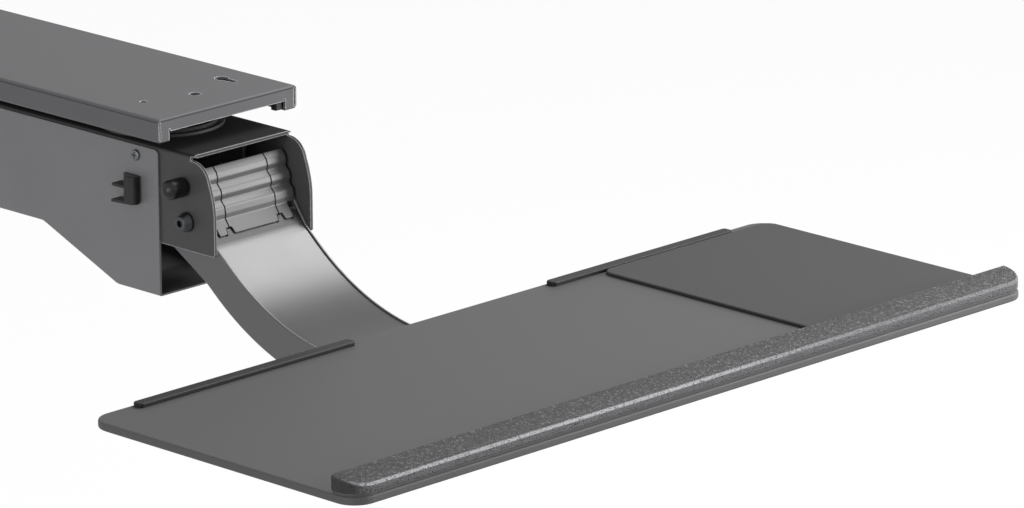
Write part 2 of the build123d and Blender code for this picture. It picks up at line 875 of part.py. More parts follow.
# Lock knob
def make_lock_knob():
    seat = bracket_half + knob_seat_gap
    tip = seat + knob_length
    shoulder = Vector(knob_radius, tip - knob_dome)
    dome_radius = (knob_radius * knob_radius + knob_dome * knob_dome) / (2 * knob_dome)
    half_turn = asin(knob_radius / dome_radius) / 2
    middle = Vector(dome_radius * sin(half_turn), tip - dome_radius * (1 - cos(half_turn)))
    path = [Vector(0, seat), Vector(knob_neck_radius, seat), Vector(knob_radius, seat + knob_neck), shoulder]
    edges = path_edges(path, [0, 0])
    edges.append(Edge.make_three_point_arc(shoulder, middle, (0, tip)))
    edges.append(Edge.make_line((0, tip), (0, seat)))
    body = revolve(Plane.XZ * make_face(edges), axis=Axis.Z)
    body -= rod_z(0, 0, knob_stud_radius, seat - cut_over, seat + knob_stud_depth)
    return stand((0, knob_place.X, knob_place.Y), (-1, 0, 0)) * body


def make_lock_stud():
    low = -bracket_half - knob_seat_gap - knob_stud_depth
    return rod_x(knob_place, knob_stud_radius, low, -bracket_inner)


# Arm geometry in Y and Z
arm_inner = arm_half_width - arm_sheet
down_arm = Vector(-cos(radians(arm_slope)), -sin(radians(arm_slope)))
into_arm = Vector(sin(radians(arm_slope)), -cos(radians(arm_slope)))
arm_foot = pivot - into_arm * arm_top_over_pivot
arm_level = head.Y + arm_top_over_head
crease = pivot + Vector(-crease_ahead, crease_level)
down_lip = Vector(-cos(radians(lip_slope)), -sin(radians(lip_slope)))
into_lip = Vector(sin(radians(lip_slope)), -cos(radians(lip_slope)))
curl_top = crease + Vector(curl_depth, curl_height)


def arm_point(depth, along):
    """Place on the straight root of the arm, at a depth under its top edge."""
    return arm_foot + into_arm * depth + down_arm * along


def arm_corner(depth):
    """Place where the sloping and the level run of the arm would meet, at a depth under the top edge."""
    root = arm_point(depth, 0)
    return root + down_arm * ((root.Y - arm_level + depth) / sin(radians(arm_slope)))


def lip_joint(depth):
    """Place where the lip's slope meets the arm's root, at a depth under the top edge."""
    start = crease + into_lip * depth
    gap = arm_point(depth, 0) - start
    run = (gap.X * down_arm.Y - gap.Y * down_arm.X) / (down_lip.X * down_arm.Y - down_lip.Y * down_arm.X)
    return start + down_lip * run


def arm_side_outline():
    """Side view of the arm with its tail and the ear that carries the curl cover."""
    end_y = head.X - arm_end_ahead
    bottom = arm_level - arm_depth
    tail = pivot + Vector(tail_behind, -tail_drop)
    belly = pivot + Vector(-belly_ahead, -belly_drop)
    ear_front_share, ear_front_height_share = ear_shares
    ear_front = crease + Vector(curl_depth * ear_front_share, curl_height * ear_front_height_share)
    ear_level = pivot.Y + ear_top
    corners = [(end_y, arm_level, arm_end_top_radius), rounded(arm_corner(0), arm_bend_radius), lip_joint(0),
               crease, rounded(ear_front, curl_radius), (pivot.X - ear_ahead, ear_level, ear_radius),
               (pivot.X + ear_back, ear_level, ear_radius),
               (pivot.X + ear_back + tail_radius, pivot.Y + tail_radius, tail_radius),
               (tail.X, pivot.Y - tail_top_drop, tail_radius), rounded(tail, tail_radius),
               rounded(belly, belly_radius), rounded(arm_corner(arm_depth), arm_bend_radius + arm_depth),
               (end_y, bottom, arm_end_bottom_radius)]
    return outline(*corners)


def make_arm_channel():
    side = prism_x(arm_side_outline(), arm_inner, arm_half_width)
    depth = arm_depth - arm_sheet
    web_front = Vector(head.X - arm_end_ahead + web_end_gap, arm_level - depth)
    path = [web_front, arm_corner(depth), arm_point(depth, web_start)]
    web = prism_x(bent_strip(path, arm_sheet, [arm_bend_radius + depth]), -arm_inner, arm_inner)
    body = web + both_sides(side)
    body = fillet([edge for edge in body.edges() if is_low_arm_edge(edge)], arm_bottom_edge_radius)
    body -= rod_x(pivot, bush_radius, -bracket_width, bracket_width)
    body -= rod_x(head, head_pin_radius, -bracket_width, bracket_width)
    return body


def make_arm_bridge():
    """Cross plate that closes the arm under the gap beside the lip's tabs."""
    depth = cover_plate_inset + cover_plate_sheet + bridge_gap
    start = crease + into_lip * depth + down_lip * (lip_length * bridge_start_share)
    points = [arm_point(depth, bridge_run), lip_joint(depth), start]
    return prism_x(bent_strip(points, bridge_sheet, [lip_bend_radius]), -arm_inner, arm_inner)


def is_low_arm_edge(edge):
    """True for the outer edge of the arm's long bottom bend."""
    if edge.geom_type != GeomType.CIRCLE:
        return False
    outside = abs(edge.center().X) > arm_half_width - running_fit
    return outside and edge.radius > arm_bend_radius + arm_depth - arm_sheet / 2


def make_arm_cover():
    half = arm_inner - cover_plate_gap
    depth = cover_plate_inset
    start = crease + into_lip * depth + down_lip * (lip_length * finger_line_share)
    end = Vector(head.X - arm_end_ahead + cover_plate_end_gap, arm_level - depth)
    points = [end, arm_corner(depth), lip_joint(depth), start]
    face = bent_strip(points, cover_plate_sheet, [arm_bend_radius + depth, lip_bend_radius])
    plate = prism_x(face, -half, half)
    return plate - lip_blank(tab_gap)


def lip_blank(grow):
    """Solid that holds the lip with its tabs, thicker than the sheet and grown by a gap."""
    line = lip_length * tab_line_share + grow
    finger = lip_length * finger_line_share + grow
    inner = finger_inner + grow
    outer = finger_inner + finger_width - grow
    edge = lip_half_width + grow
    right = [(0, line), (inner - finger_slant, line, finger_slant), (inner, finger), (outer, finger),
             (outer + finger_slant, line, finger_slant), (edge, line, finger_slant), (edge, -lip_length)]
    left = [(-corner[0], *corner[1:]) for corner in right[:0:-1]]
    face = outline(*left, *right[1:])
    plane = Plane(origin=(0, crease.X, crease.Y), x_dir=(1, 0, 0), z_dir=(0, into_lip.X, into_lip.Y))
    return extrude(plane * face, amount=lip_bend_radius, both=True)


def curl_points():
    """Side view of the curl cover's outer face, from the lip's end up to its top."""
    points = [crease + down_lip * lip_length, crease]
    for reach, height in zip(curl_reach_shares, curl_height_shares):
        points.append(crease + Vector(curl_depth * reach, curl_height * height))
    return points


def make_curl_cover():
    points = curl_points()
    sheet = bent_strip(points, curl_sheet, [curl_radius for point in points[1:-1]])
    whole = prism_x(sheet, -curl_half_width, curl_half_width)
    lip_low = block((-bracket_width, bracket_width), (crease.X - lip_length * 2, crease.X + curl_depth),
                    (crease.Y - lip_length * 2, crease.Y))
    lip = (whole & lip_low) & lip_blank(0)
    return (whole - lip_low) + lip


def curl_band(low, high):
    limits_y = (crease.X - lip_length * 2, crease.X + curl_depth * 2)
    return curl_cover & block((low, high), limits_y, (crease.Y - lip_length * 2, curl_top.Y + curl_sheet))


# Parallel link between bracket and head
anchor_inner = link_aside + link_sheet + anchor_gap
anchor_outer = anchor_inner + anchor_sheet
anchor_screw_x = anchor_inner - cover_screw_head_radius - anchor_sheet
anchor_screw_ys = (track_front + anchor_back - cover_screw_head_radius * 2,)


def link_path(depth_shift):
    """Centre line of a link bar, bent like the arm."""
    depth = arm_depth / 2 + depth_shift
    return [link_rear, arm_point(depth, arm_depth), arm_corner(depth), link_front]


def make_link_bars():
    points = link_path(0)
    upper = offset_points(points, -link_bar_half_depth)
    lower = offset_points(points, link_bar_half_depth)
    bend = arm_bend_radius + arm_depth / 2
    radii = [arm_depth, bend * link_bend_share]
    edges = path_edges(upper, radii) + path_edges(lower[::-1], radii[::-1])
    edges += [Edge.make_line(upper[-1], lower[-1]), Edge.make_line(lower[0], upper[0])]
    high = link_aside + link_sheet
    bar = prism_x(make_face(edges), link_aside, high)
    bar += rod_x(link_rear, link_eye_radius, link_aside, high)
    bar += rod_x(link_front, link_eye_radius, link_aside, high)
    bar -= rod_x(link_rear, link_pin_radius + running_fit, link_aside - cut_over, high + cut_over)
    bar -= rod_x(link_front, link_pin_radius + link_open_clearance, link_aside - cut_over, high + cut_over)
    return both_sides(bar)


def link_pins(place):
    low = link_aside - hinge_gap
    pin = rod_x(place, link_pin_radius, low, anchor_outer + link_pin_head_height)
    pin += rod_x(place, link_pin_head_radius, low - link_pin_head_height, low)
    return both_sides(pin)


def make_link_anchor():
    foot = bracket_under
    back = track_front + anchor_back
    front = track_front + anchor_front
    side = outline((front, foot), (front, pivot.Y + pivot_tube_radius),
                   (link_rear.X + anchor_neck, link_rear.Y),
                   (link_rear.X + anchor_waist, link_rear.Y - anchor_eye_radius),
                   (back - anchor_neck, pivot.Y), (back, foot))
    wall = prism_x(side, anchor_inner, anchor_outer)
    arm_face = between(link_rear, Vector(front, link_rear.Y), anchor_arm_half_depth)
    wall += prism_x(arm_face, anchor_inner, anchor_outer)
    wall += rod_x(link_rear, anchor_eye_radius, anchor_inner, anchor_outer)
    wall -= rod_x(link_rear, link_pin_radius, anchor_inner - cut_over, anchor_outer + cut_over)
    top = block((-anchor_inner, anchor_inner), (front + anchor_neck, back), (foot - anchor_foot_sheet, foot))
    through = (foot - anchor_foot_sheet - cut_over, foot + cut_over)
    clear_hole = rod_z(0, swivel_y, stud_washer_radius + hinge_gap, *through)
    body = top + both_sides(wall) - clear_hole
    for y in anchor_screw_ys:
        body -= [rod_z(x, y, cover_screw_radius + running_fit, *through)
                 for x in (-anchor_screw_x, anchor_screw_x)]
    return body


def make_anchor_screws():
    screw = pan_screw(cover_screw_radius, anchor_foot_sheet + bracket_sheet, cover_screw_head_radius,
                      cover_screw_head_height)
    seat = bracket_under - anchor_foot_sheet
    return [stand((x, y, seat), (0, 0, -1)) * screw for y in anchor_screw_ys
            for x in (-anchor_screw_x, anchor_screw_x)]


# Gas spring
lever_angle = radians(spring_lever_angle)
spring_front = pivot + Vector(cos(lever_angle), sin(lever_angle)) * spring_lever
spring_along = (spring_front - spring_anchor).normalized()
spring_distance = (spring_front - spring_anchor).length


def make_arm_lever():
    plates = []
    high = lever_aside + lever_sheet
    face = between(pivot, spring_front, lever_eye_radius)
    plate = prism_x(face, lever_aside, high) + rod_x(spring_front, lever_eye_radius, lever_aside, high)
    plate += rod_x(pivot, pivot_tube_radius + lever_sheet, lever_aside, high)
    plate -= rod_x(pivot, pivot_tube_radius, lever_aside - cut_over, high + cut_over)
    plate -= rod_x(spring_front, spring_pin_radius, lever_aside - cut_over, high + cut_over)
    plates += both_sides(plate)
    return plates


def make_spring_pin_front():
    outer = lever_aside + lever_sheet
    pin = rod_x(spring_front, spring_pin_radius, -outer, outer)
    caps = both_sides(rod_x(spring_front, spring_pin_head_radius, outer, outer + spring_pin_head_height))
    return pin + caps


def make_spring_pin_rear():
    outer = bracket_inner
    pin = rod_x(spring_anchor, rear_pin_radius, -bracket_half, bracket_half)
    caps = both_sides(rod_x(spring_anchor, rear_pin_cap_radius, outer - rear_pin_cap_height, outer))
    return pin + caps


def make_spring_spacers():
    low = spring_eye_half_width + slide_gap
    high = bracket_inner - rear_pin_cap_height
    hole = rear_pin_radius + running_fit
    return both_sides(tube_x(spring_anchor, rear_spacer_radius, hole, low, high))


def spring_plane(distance):
    """Plane square to the gas spring at a distance from its rear pin, facing the arm."""
    place = spring_anchor + spring_along * distance
    return Plane(origin=(0, place.X, place.Y), x_dir=(1, 0, 0), z_dir=(0, spring_along.X, spring_along.Y))


def make_gas_cylinder():
    tube = spring_plane(cylinder_start) * rod_z(0, 0, cylinder_radius, 0, cylinder_length)
    bore = spring_plane(cylinder_start + cylinder_floor) * rod_z(0, 0, cylinder_radius - cylinder_wall, 0,
                                                                   cylinder_length)
    eye = rod_x(spring_anchor, rear_eye_radius, -spring_eye_half_width, spring_eye_half_width)
    neck_run = cylinder_start + cylinder_wall
    neck = spring_plane(0) * block((-spring_eye_half_width, spring_eye_half_width),
                                   (-spring_eye_half_width, spring_eye_half_width), (0, neck_run))
    body = tube - bore + eye + neck
    return body - rod_x(spring_anchor, rear_pin_radius + running_fit, -cylinder_radius, cylinder_radius)


def make_gas_gland():
    end = cylinder_start + cylinder_length
    outer = cylinder_radius - cylinder_wall
    face = Circle(outer) - Circle(rod_radius + running_fit)
    return spring_plane(end - gland_length) * extrude(face, amount=gland_length)


def make_gas_rod():
    end = spring_distance - spring_eye_radius
    start = cylinder_start + cylinder_length - rod_inside
    shaft = spring_plane(start) * rod_z(0, 0, rod_radius, 0, end - start)
    piston_radius = cylinder_radius - cylinder_wall - running_fit
    piston = spring_plane(start) * rod_z(0, 0, piston_radius, 0, piston_length)
    return shaft + piston


def make_rod_eye():
    eye = rod_x(spring_front, spring_eye_radius, -spring_eye_half_width, spring_eye_half_width)
    collar_run = rod_eye_run
    collar_radius = spring_eye_half_width + cylinder_wall
    collar = rod_z(0, 0, collar_radius, 0, collar_run - spring_pin_radius)
    body = eye + spring_plane(spring_distance - collar_run) * collar
    body -= spring_plane(spring_distance - collar_run - cut_over) * rod_z(0, 0, rod_radius, 0,
                                                                          spring_eye_radius + cut_over)
    hole = spring_pin_radius + spring_open_clearance
    return body - rod_x(spring_front, hole, -cylinder_radius, cylinder_radius)


# Head
head_inner = head_lug_aside
head_outer = head_lug_aside + head_lug_sheet


def make_head_frame():
    face = between(head, tilt, head_web_half_depth) + between(head, link_front, head_lower_half_depth)
    lug = prism_x(face, head_inner, head_outer)
    for place, radius in ((head, head_lug_radius), (tilt, tilt_lug_radius), (link_front, head_lower_radius)):
        lug += rod_x(place, radius, head_inner, head_outer)
    lug -= rod_x(link_front, link_pin_radius, head_inner - cut_over, head_outer + cut_over)
    tubes = rod_x(head, head_tube_radius, -head_inner, head_inner)
    tubes += rod_x(tilt, tilt_tube_radius, -head_inner, head_inner)
    brace = prism_x(between(head, tilt, head_lug_sheet / 2), -head_inner, head_inner)
    body = tubes + brace + both_sides(lug)
    body -= rod_x(head, head_pin_radius + running_fit, -bracket_width, bracket_width)
    body -= rod_x(tilt, tilt_bolt_radius + running_fit, -bracket_width, bracket_width)
    return body


def make_head_pin():
    outer = arm_half_width
    pin = rod_x(head, head_pin_radius, -outer, outer)
    caps = both_sides(rod_x(head, head_pin_head_radius, outer, outer + head_pin_head_height))
    return pin + caps


def make_head_spacers():
    low = head_outer + hinge_gap
    return both_sides(tube_x(head, head_tube_radius, head_pin_radius + running_fit, low, arm_inner))


tray_lug_inner = head_outer + tray_lug_gap
tray_lug_outer = tray_lug_inner + tray_lug_sheet
tilt_bolt_end = tray_lug_outer + washer_sheet + tilt_bolt_tail


def make_tilt_bolt():
    body = rod_x(tilt, tilt_bolt_radius, -tray_lug_outer - hinge_gap, tilt_bolt_end)
    seat = tray_lug_outer + hinge_gap
    head_face = Pos(tilt.X, tilt.Y) * hexagon(tilt_bolt_head_flats)
    return body + prism_x(head_face, -seat - tilt_bolt_head_height, -seat)


def make_tilt_washer():
    low = tray_lug_outer + hinge_gap
    return tube_x(tilt, tilt_washer_radius, tilt_bolt_radius, low, low + washer_sheet)


def make_tilt_knob():
    seat = tray_lug_outer + hinge_gap + washer_sheet + tilt_knob_gap
    hub = rod_z(0, 0, tilt_knob_hub_radius, 0, tilt_knob_hub_length)
    grip = rod_z(0, 0, tilt_knob_radius, tilt_knob_hub_length, tilt_knob_hub_length + tilt_knob_length)
    notch = rod_z(0, 0, tilt_knob_notch_radius, tilt_knob_hub_length - cut_over,
                  tilt_knob_hub_length + tilt_knob_length + cut_over)
    for place in PolarLocations(tilt_knob_radius + tilt_knob_notch_out, tilt_knob_lobes):
        grip -= place * notch
    grip = fillet(grip.edges().group_by(Axis.Z)[-1], tilt_knob_rounding)
    body = hub + grip
    body -= rod_z(0, 0, tilt_bolt_radius + running_fit, -cut_over, tilt_bolt_end - seat + knob_seat_gap)
    return stand((seat, tilt.X, tilt.Y), (1, 0, 0)) * body


# Tray pieces
tray_plate_top = board_bottom
tray_plate_bottom = board_bottom - tray_plate_sheet
tray_plate_rear = tilt.X + tray_plate_behind
tray_plate_front = tray_plate_rear - tray_plate_length
tray_screw_xs = (-tray_plate_half_width + tray_screw_inset, 0, tray_plate_half_width - tray_screw_inset)
tray_screw_ys = (tray_plate_rear - tray_screw_inset - tray_plate_sheet, tray_plate_front + tray_screw_inset)


def make_tray_bracket():
    middle = (tray_plate_rear + tray_plate_front) / 2
    face = Pos(0, middle) * RectangleRounded(2 * tray_plate_half_width, tray_plate_length, tray_plate_corner)
    plate = prism_z(face, tray_plate_bottom, tray_plate_top)
    lug_top = tray_plate_bottom + tray_plate_sheet / 2
    reach = tray_plate_behind
    rounding = reach * tray_lug_round_share
    side = outline((tilt.X - reach - tray_lug_flare, lug_top), (tilt.X - reach, tilt.Y - reach, rounding),
                   (tilt.X + reach, tilt.Y - reach, rounding), (tilt.X + reach, lug_top))
    lug = prism_x(side, tray_lug_inner, tray_lug_outer)
    body = plate + both_sides(lug)
    body -= rod_x(tilt, tilt_bolt_radius + running_fit, -bracket_width, bracket_width)
    for y in tray_screw_ys:
        body -= [rod_z(x, y, tray_screw_radius, tray_plate_bottom - cut_over, tray_plate_top + cut_over)
                 for x in tray_screw_xs]
    return body


def make_tray_screws():
    screw = pan_screw(tray_screw_radius, tray_plate_sheet + tray_screw_depth, tray_screw_head_radius,
                      tray_screw_head_height)
    places = [(x, y, tray_plate_bottom) for y in tray_screw_ys for x in tray_screw_xs]
    return [stand(place, (0, 0, -1)) * screw for place in places]


def board_face(inset):
    """Plan of the board, drawn in from its edge."""
    return Pos(0, board_middle) * RectangleRounded(board_width - 2 * inset, board_depth - 2 * inset,
                                                   board_corner - inset)


def make_tray_board():
    body = prism_z(board_face(0), board_bottom, board_top)
    body = fillet(body.edges().group_by(Axis.Z)[0] + body.edges().group_by(Axis.Z)[-1], board_edge_radius)
    for y in tray_screw_ys:
        body -= [rod_z(x, y, tray_screw_radius, board_bottom - cut_over, board_bottom + tray_screw_depth)
                 for x in tray_screw_xs]
    return body


def rear_lip(low, high):
    rear = board_rear - lip_bar_inset
    face = Pos((low + high) / 2, rear - lip_bar_width / 2) * RectangleRounded(high - low, lip_bar_width,
                                                                             lip_bar_end_radius)
    bar = prism_z(face, board_top, board_top + lip_bar_height)
    return fillet(bar.edges().group_by(Axis.Z)[-1], lip_bar_rounding)


def front_strip(inset, depth, low, high):
    """Slice of the board's plan along its front edge."""
    whole = prism_z(board_face(inset), low, high)
    front = board_front + inset
    keep_z = (low - cut_over, high + cut_over)
    keep = block((-board_width, board_width), (front - cut_over, board_front + depth), keep_z)
    return whole & keep


def make_palm_base():
    return front_strip(palm_base_inset, palm_depth - palm_base_inset, board_top, board_top + palm_base_sheet)


def make_palm_rest():
    bottom = board_top + palm_base_sheet
    front = board_front + palm_side_inset
    rear = board_front + palm_depth
    rear_top = board_top + palm_rear_height
    front_top = board_top + palm_front_height
    sides = [Vector(front, bottom), Vector(front, front_top), Vector(rear, rear_top), Vector(rear, bottom)]
    start, start_middle, start_end = corner_arc(sides[0], sides[1], sides[2], palm_front_radius)
    stop, stop_middle, stop_end = corner_arc(sides[1], sides[2], sides[3], palm_rear_radius)
    crown = (start_end + stop) * 0.5 + Vector(0, palm_crown)
    edges = [Edge.make_line(sides[0], start), Edge.make_three_point_arc(start, start_middle, start_end),
             Edge.make_three_point_arc(start_end, crown, stop),
             Edge.make_three_point_arc(stop, stop_middle, stop_end), Edge.make_line(stop_end, sides[3]),
             Edge.make_line(sides[3], sides[0])]
    bar = prism_x(make_face(edges), -board_width, board_width)
    strip = front_strip(palm_side_inset, palm_depth, bottom, rear_top + palm_crown)
    return bar & strip


def make_mouse_mat():
    right = board_width / 2 - mat_right_inset
    front = board_front + palm_depth + mat_palm_gap
    rear = board_rear - mat_rear_inset
    place = Pos(right - mat_width / 2, (front + rear) / 2)
    face = place * RectangleRounded(mat_width, rear - front, mat_corner)
    body = prism_z(face, board_top, board_top + mat_sheet)
    return fillet(body.edges().group_by(Axis.Z)[-1], mat_edge_radius)


left_lip_start = left_lip_inset - board_width / 2
right_lip_end = board_width / 2 - right_lip_inset
curl_cover = make_curl_cover()
curl_inner = curl_seam - curl_seam_gap / 2
curl_outer = curl_seam + curl_seam_gap / 2
pieces = {
    "track": make_track(),
    "rear_stop": make_rear_stop(),
    "rear_stop_screws": make_rear_stop_screws(),
    "rear_buffers": make_rear_buffers(),
    "carriage_plate": make_carriage_plate(),
    "carriage_glides": make_carriage_glides(),
    "glide_screws": make_glide_screws(),
    "front_buffer": make_front_buffer(),
    "turntable_ring": make_turntable_ring(),
    "swivel_stud": make_swivel_stud(),
    "swivel_washer": make_swivel_washer(),
    "swivel_nut": make_swivel_nut(),
    "bearing_ring": make_bearing_ring(),
    "bracket": make_bracket(),
    "housing_cover": make_housing_cover(),
    "cover_screws": make_cover_screws(),
    "cable_clip": make_cable_clip(),
    "pivot_bolt": make_pivot_bolt(),
    "pivot_washer": make_pivot_washer(),
    "pivot_nut": make_pivot_nut(),
    "link_anchor": make_link_anchor(),
    "anchor_screws": make_anchor_screws(),
    "link_pins_rear": link_pins(link_rear),
    "spring_pin_rear": make_spring_pin_rear(),
    "spring_spacers": make_spring_spacers(),
    "lock_knob": make_lock_knob(),
    "lock_stud": make_lock_stud(),
    "arm_channel": make_arm_channel(),
    "arm_bridge": make_arm_bridge(),
    "arm_cover": make_arm_cover(),
    "curl_cover_centre": curl_band(-curl_inner, curl_inner),
    "curl_cover_left": curl_band(-bracket_width, -curl_outer),
    "curl_cover_right": curl_band(curl_outer, bracket_width),
    "pivot_tube": make_pivot_tube(),
    "pivot_bushes": make_pivot_bushes(),
    "arm_lever": make_arm_lever(),
    "spring_pin_front": make_spring_pin_front(),
    "head_pin": make_head_pin(),
    "head_spacers": make_head_spacers(),
    "link_bars": make_link_bars(),
    "gas_cylinder": make_gas_cylinder(),
    "gas_gland": make_gas_gland(),
    "gas_rod": make_gas_rod(),
    "rod_eye": make_rod_eye(),
    "head_frame": make_head_frame(),
    "link_pins_front": link_pins(link_front),
    "tilt_bolt": make_tilt_bolt(),
    "tilt_washer": make_tilt_washer(),
    "tilt_knob": make_tilt_knob(),
    "tray_bracket": make_tray_bracket(),
    "tray_screws": make_tray_screws(),
    "tray_board": make_tray_board(),
    "rear_lip_left": rear_lip(left_lip_start, left_lip_start + left_lip_length),
    "rear_lip_right": rear_lip(right_lip_end - right_lip_length, right_lip_end),
    "palm_base": make_palm_base(),
    "palm_rest": make_palm_rest(),
    "mouse_mat": make_mouse_mat(),
}

os.makedirs("parts", exist_ok=True)
for name, piece in pieces.items():
    solids = piece if isinstance(piece, list) else [piece]
    whole = Compound(children=[solid for shape in solids for solid in shape.solids()])
    export_step(whole, os.path.join("parts", name + ".step"))
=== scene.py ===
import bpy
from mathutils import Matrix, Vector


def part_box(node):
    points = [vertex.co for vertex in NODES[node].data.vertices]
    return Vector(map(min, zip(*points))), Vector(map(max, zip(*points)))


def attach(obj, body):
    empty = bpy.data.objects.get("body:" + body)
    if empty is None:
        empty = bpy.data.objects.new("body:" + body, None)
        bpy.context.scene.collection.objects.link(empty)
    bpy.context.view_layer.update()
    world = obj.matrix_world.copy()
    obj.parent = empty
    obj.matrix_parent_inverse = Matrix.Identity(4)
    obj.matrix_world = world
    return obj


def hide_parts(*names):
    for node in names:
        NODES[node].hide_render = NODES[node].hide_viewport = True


bl_info = {
    "name": "Keyboard tray under desk",
    "version": (1, 0, 0),
    "blender": (4, 5, 0),
    "location": "3D View > Sidebar > Tray",
    "description": "Finishes, soft pieces and studio for a sit-stand keyboard tray",
    "category": "Object",
}

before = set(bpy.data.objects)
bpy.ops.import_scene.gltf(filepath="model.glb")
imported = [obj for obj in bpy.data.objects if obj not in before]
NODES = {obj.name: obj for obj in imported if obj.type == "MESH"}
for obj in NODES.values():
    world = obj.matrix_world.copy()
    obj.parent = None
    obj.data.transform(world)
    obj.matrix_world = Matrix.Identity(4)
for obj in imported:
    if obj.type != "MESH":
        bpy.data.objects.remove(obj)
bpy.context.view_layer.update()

import math

import bmesh
import bpy
from mathutils import Matrix, Vector

# Places on the CAD solids, in metres
BRACKET_INNER_HALF = 0.0482
# Band under the track's top edge where a shade line is painted
TRACK_SHADE_LOW = -0.0023
TRACK_SHADE_HIGH = -0.0012

# Mouse mat, in metres: its corner, and how far its top edge rolls in and down
MAT_CORNER = 0.010
MAT_ROLL = ((0.00015, 0.0006), (0.0005, 0.00018), (0.0012, 0.0))
MAT_CORNER_STEPS = 10
THREAD = 0.0007

# Palm rest, in metres, with shares of its height
PALM_FRONT_CORNER = 0.0166
PALM_REAR_CORNER = 0.0014
PALM_LEAST_CORNER = 0.0003
PALM_ROLL = 0.0022
PALM_ROLL_STEPS = 6
PALM_FOOT = 0.0004
PALM_FOOT_RISE = 0.0008
PALM_WALL_END = 0.0006
PALM_SEAM = ((0.0006, -0.00010), (0.0013, -0.00030), (0.0020, -0.00010))
PALM_RIDGE_HALF = 0.0005
PALM_TOP_RINGS = 6
PALM_FRONT_SHARE = 0.53
PALM_RISE_SHARE = 0.44
PALM_UNEVEN = 0.00012
PALM_UNEVEN_TURNS = (47.0, 19.0)
# Span along the bar over which the painted highlight on the front roll fades
PALM_ROLL_HIGHLIGHT_FADE = (-0.05, 0.2)
PALM_CORNER_STEPS = 10
PALM_END_PARTS = 8
PALM_RUN_PARTS = 80

# Studio, in metres
FLOOR_HALF = 9
FLOOR_TONE = 0.8
BACKGROUND_SHARE = 0.93
WHITE = (1.0, 1.0, 1.0, 1.0)
ROOM_COLOUR = (0.95, 0.97, 1.0, 1.0)
LIGHTS = (("key", (1.75, -0.75, 1.75), (0, -0.33, -0.08), 1.3, 1.0),
          ("front", (2.1, -2.4, 0.5), (0.2, -0.6, -0.12), 1.5, 0.9),
          ("fill", (-3.0, -1.0, 0.6), (0, -0.3, -0.1), 1.8, 0.8),
          ("right", (1.0, -1.35, 0.12), (0.25, -0.7, -0.14), 0.5, 0.16))
CAMERA_PLACE = (-3.5158, -4.0340, 1.3882)
CAMERA_TURN = 45.34
CAMERA_DIP = 16.28
CAMERA_ROLL = -0.27
CAMERA_FOCUS_SHARE = 7462.1 / 1024


# Shader maths
class Value:
    """A shader socket or number that takes part in Python expressions."""

    def __init__(self, look, socket):
        self.look = look
        self.socket = socket

    def _math(self, operation, *values):
        node = self.look.node("ShaderNodeMath", operation=operation)
        for slot, value in zip(node.inputs, values):
            self.look.feed(slot, value)
        return Value(self.look, node.outputs[0])

    def __add__(self, other):
        return self._math("ADD", self, other)

    def __radd__(self, other):
        return self._math("ADD", other, self)

    def __sub__(self, other):
        return self._math("SUBTRACT", self, other)

    def __rsub__(self, other):
        return self._math("SUBTRACT", other, self)

    def __mul__(self, other):
        return self._math("MULTIPLY", self, other)

    def __rmul__(self, other):
        return self._math("MULTIPLY", other, self)

    def __neg__(self):
        return self._math("MULTIPLY", self, -1.0)

    def below(self, other):
        return self._math("LESS_THAN", self, other)

    def above(self, other):
        return self._math("GREATER_THAN", self, other)

    def size(self):
        return self._math("ABSOLUTE", self)

    def largest(self, other):
        return self._math("MAXIMUM", self, other)

    def sine(self):
        return self._math("SINE", self)

    def ramp(self, low, high):
        """0 below low, 1 above high, smooth between."""
        inputs = {"Value": self, "From Min": low, "From Max": high}
        node = self.look.node("ShaderNodeMapRange", inputs, interpolation_type="SMOOTHSTEP")
        return Value(self.look, node.outputs[0])


class Nodes:
    """The nodes of a material or of the world."""

    def __init__(self, tree):
        self.tree = tree

    def feed(self, slot, value):
        """Link a value to an input, or set a constant on it."""
        if isinstance(value, Value):
            value = value.socket
        if isinstance(value, bpy.types.NodeSocket):
            self.tree.links.new(value, slot)
        else:
            slot.default_value = value

    def node(self, kind, inputs=None, **settings):
        """Add a node with its settings and inputs."""
        node = self.tree.nodes.new(kind)
        for name, value in settings.items():
            setattr(node, name, value)
        for name, value in (inputs or {}).items():
            self.feed(node.inputs[name], value)
        return node

    def seen(self):
        """Share of the rays from the camera, off mirrors and through glass, which meet a white background."""
        rays = self.node("ShaderNodeLightPath").outputs
        camera = Value(self, rays["Is Camera Ray"])
        return camera.largest(rays["Is Glossy Ray"]).largest(rays["Is Transmission Ray"])

    def mixed(self, share, first, second):
        """Shader that goes from the first to the second."""
        mix = self.node("ShaderNodeMixShader")
        for slot, value in zip(mix.inputs, (share, first, second)):
            self.feed(slot, value)
        return mix.outputs[0]


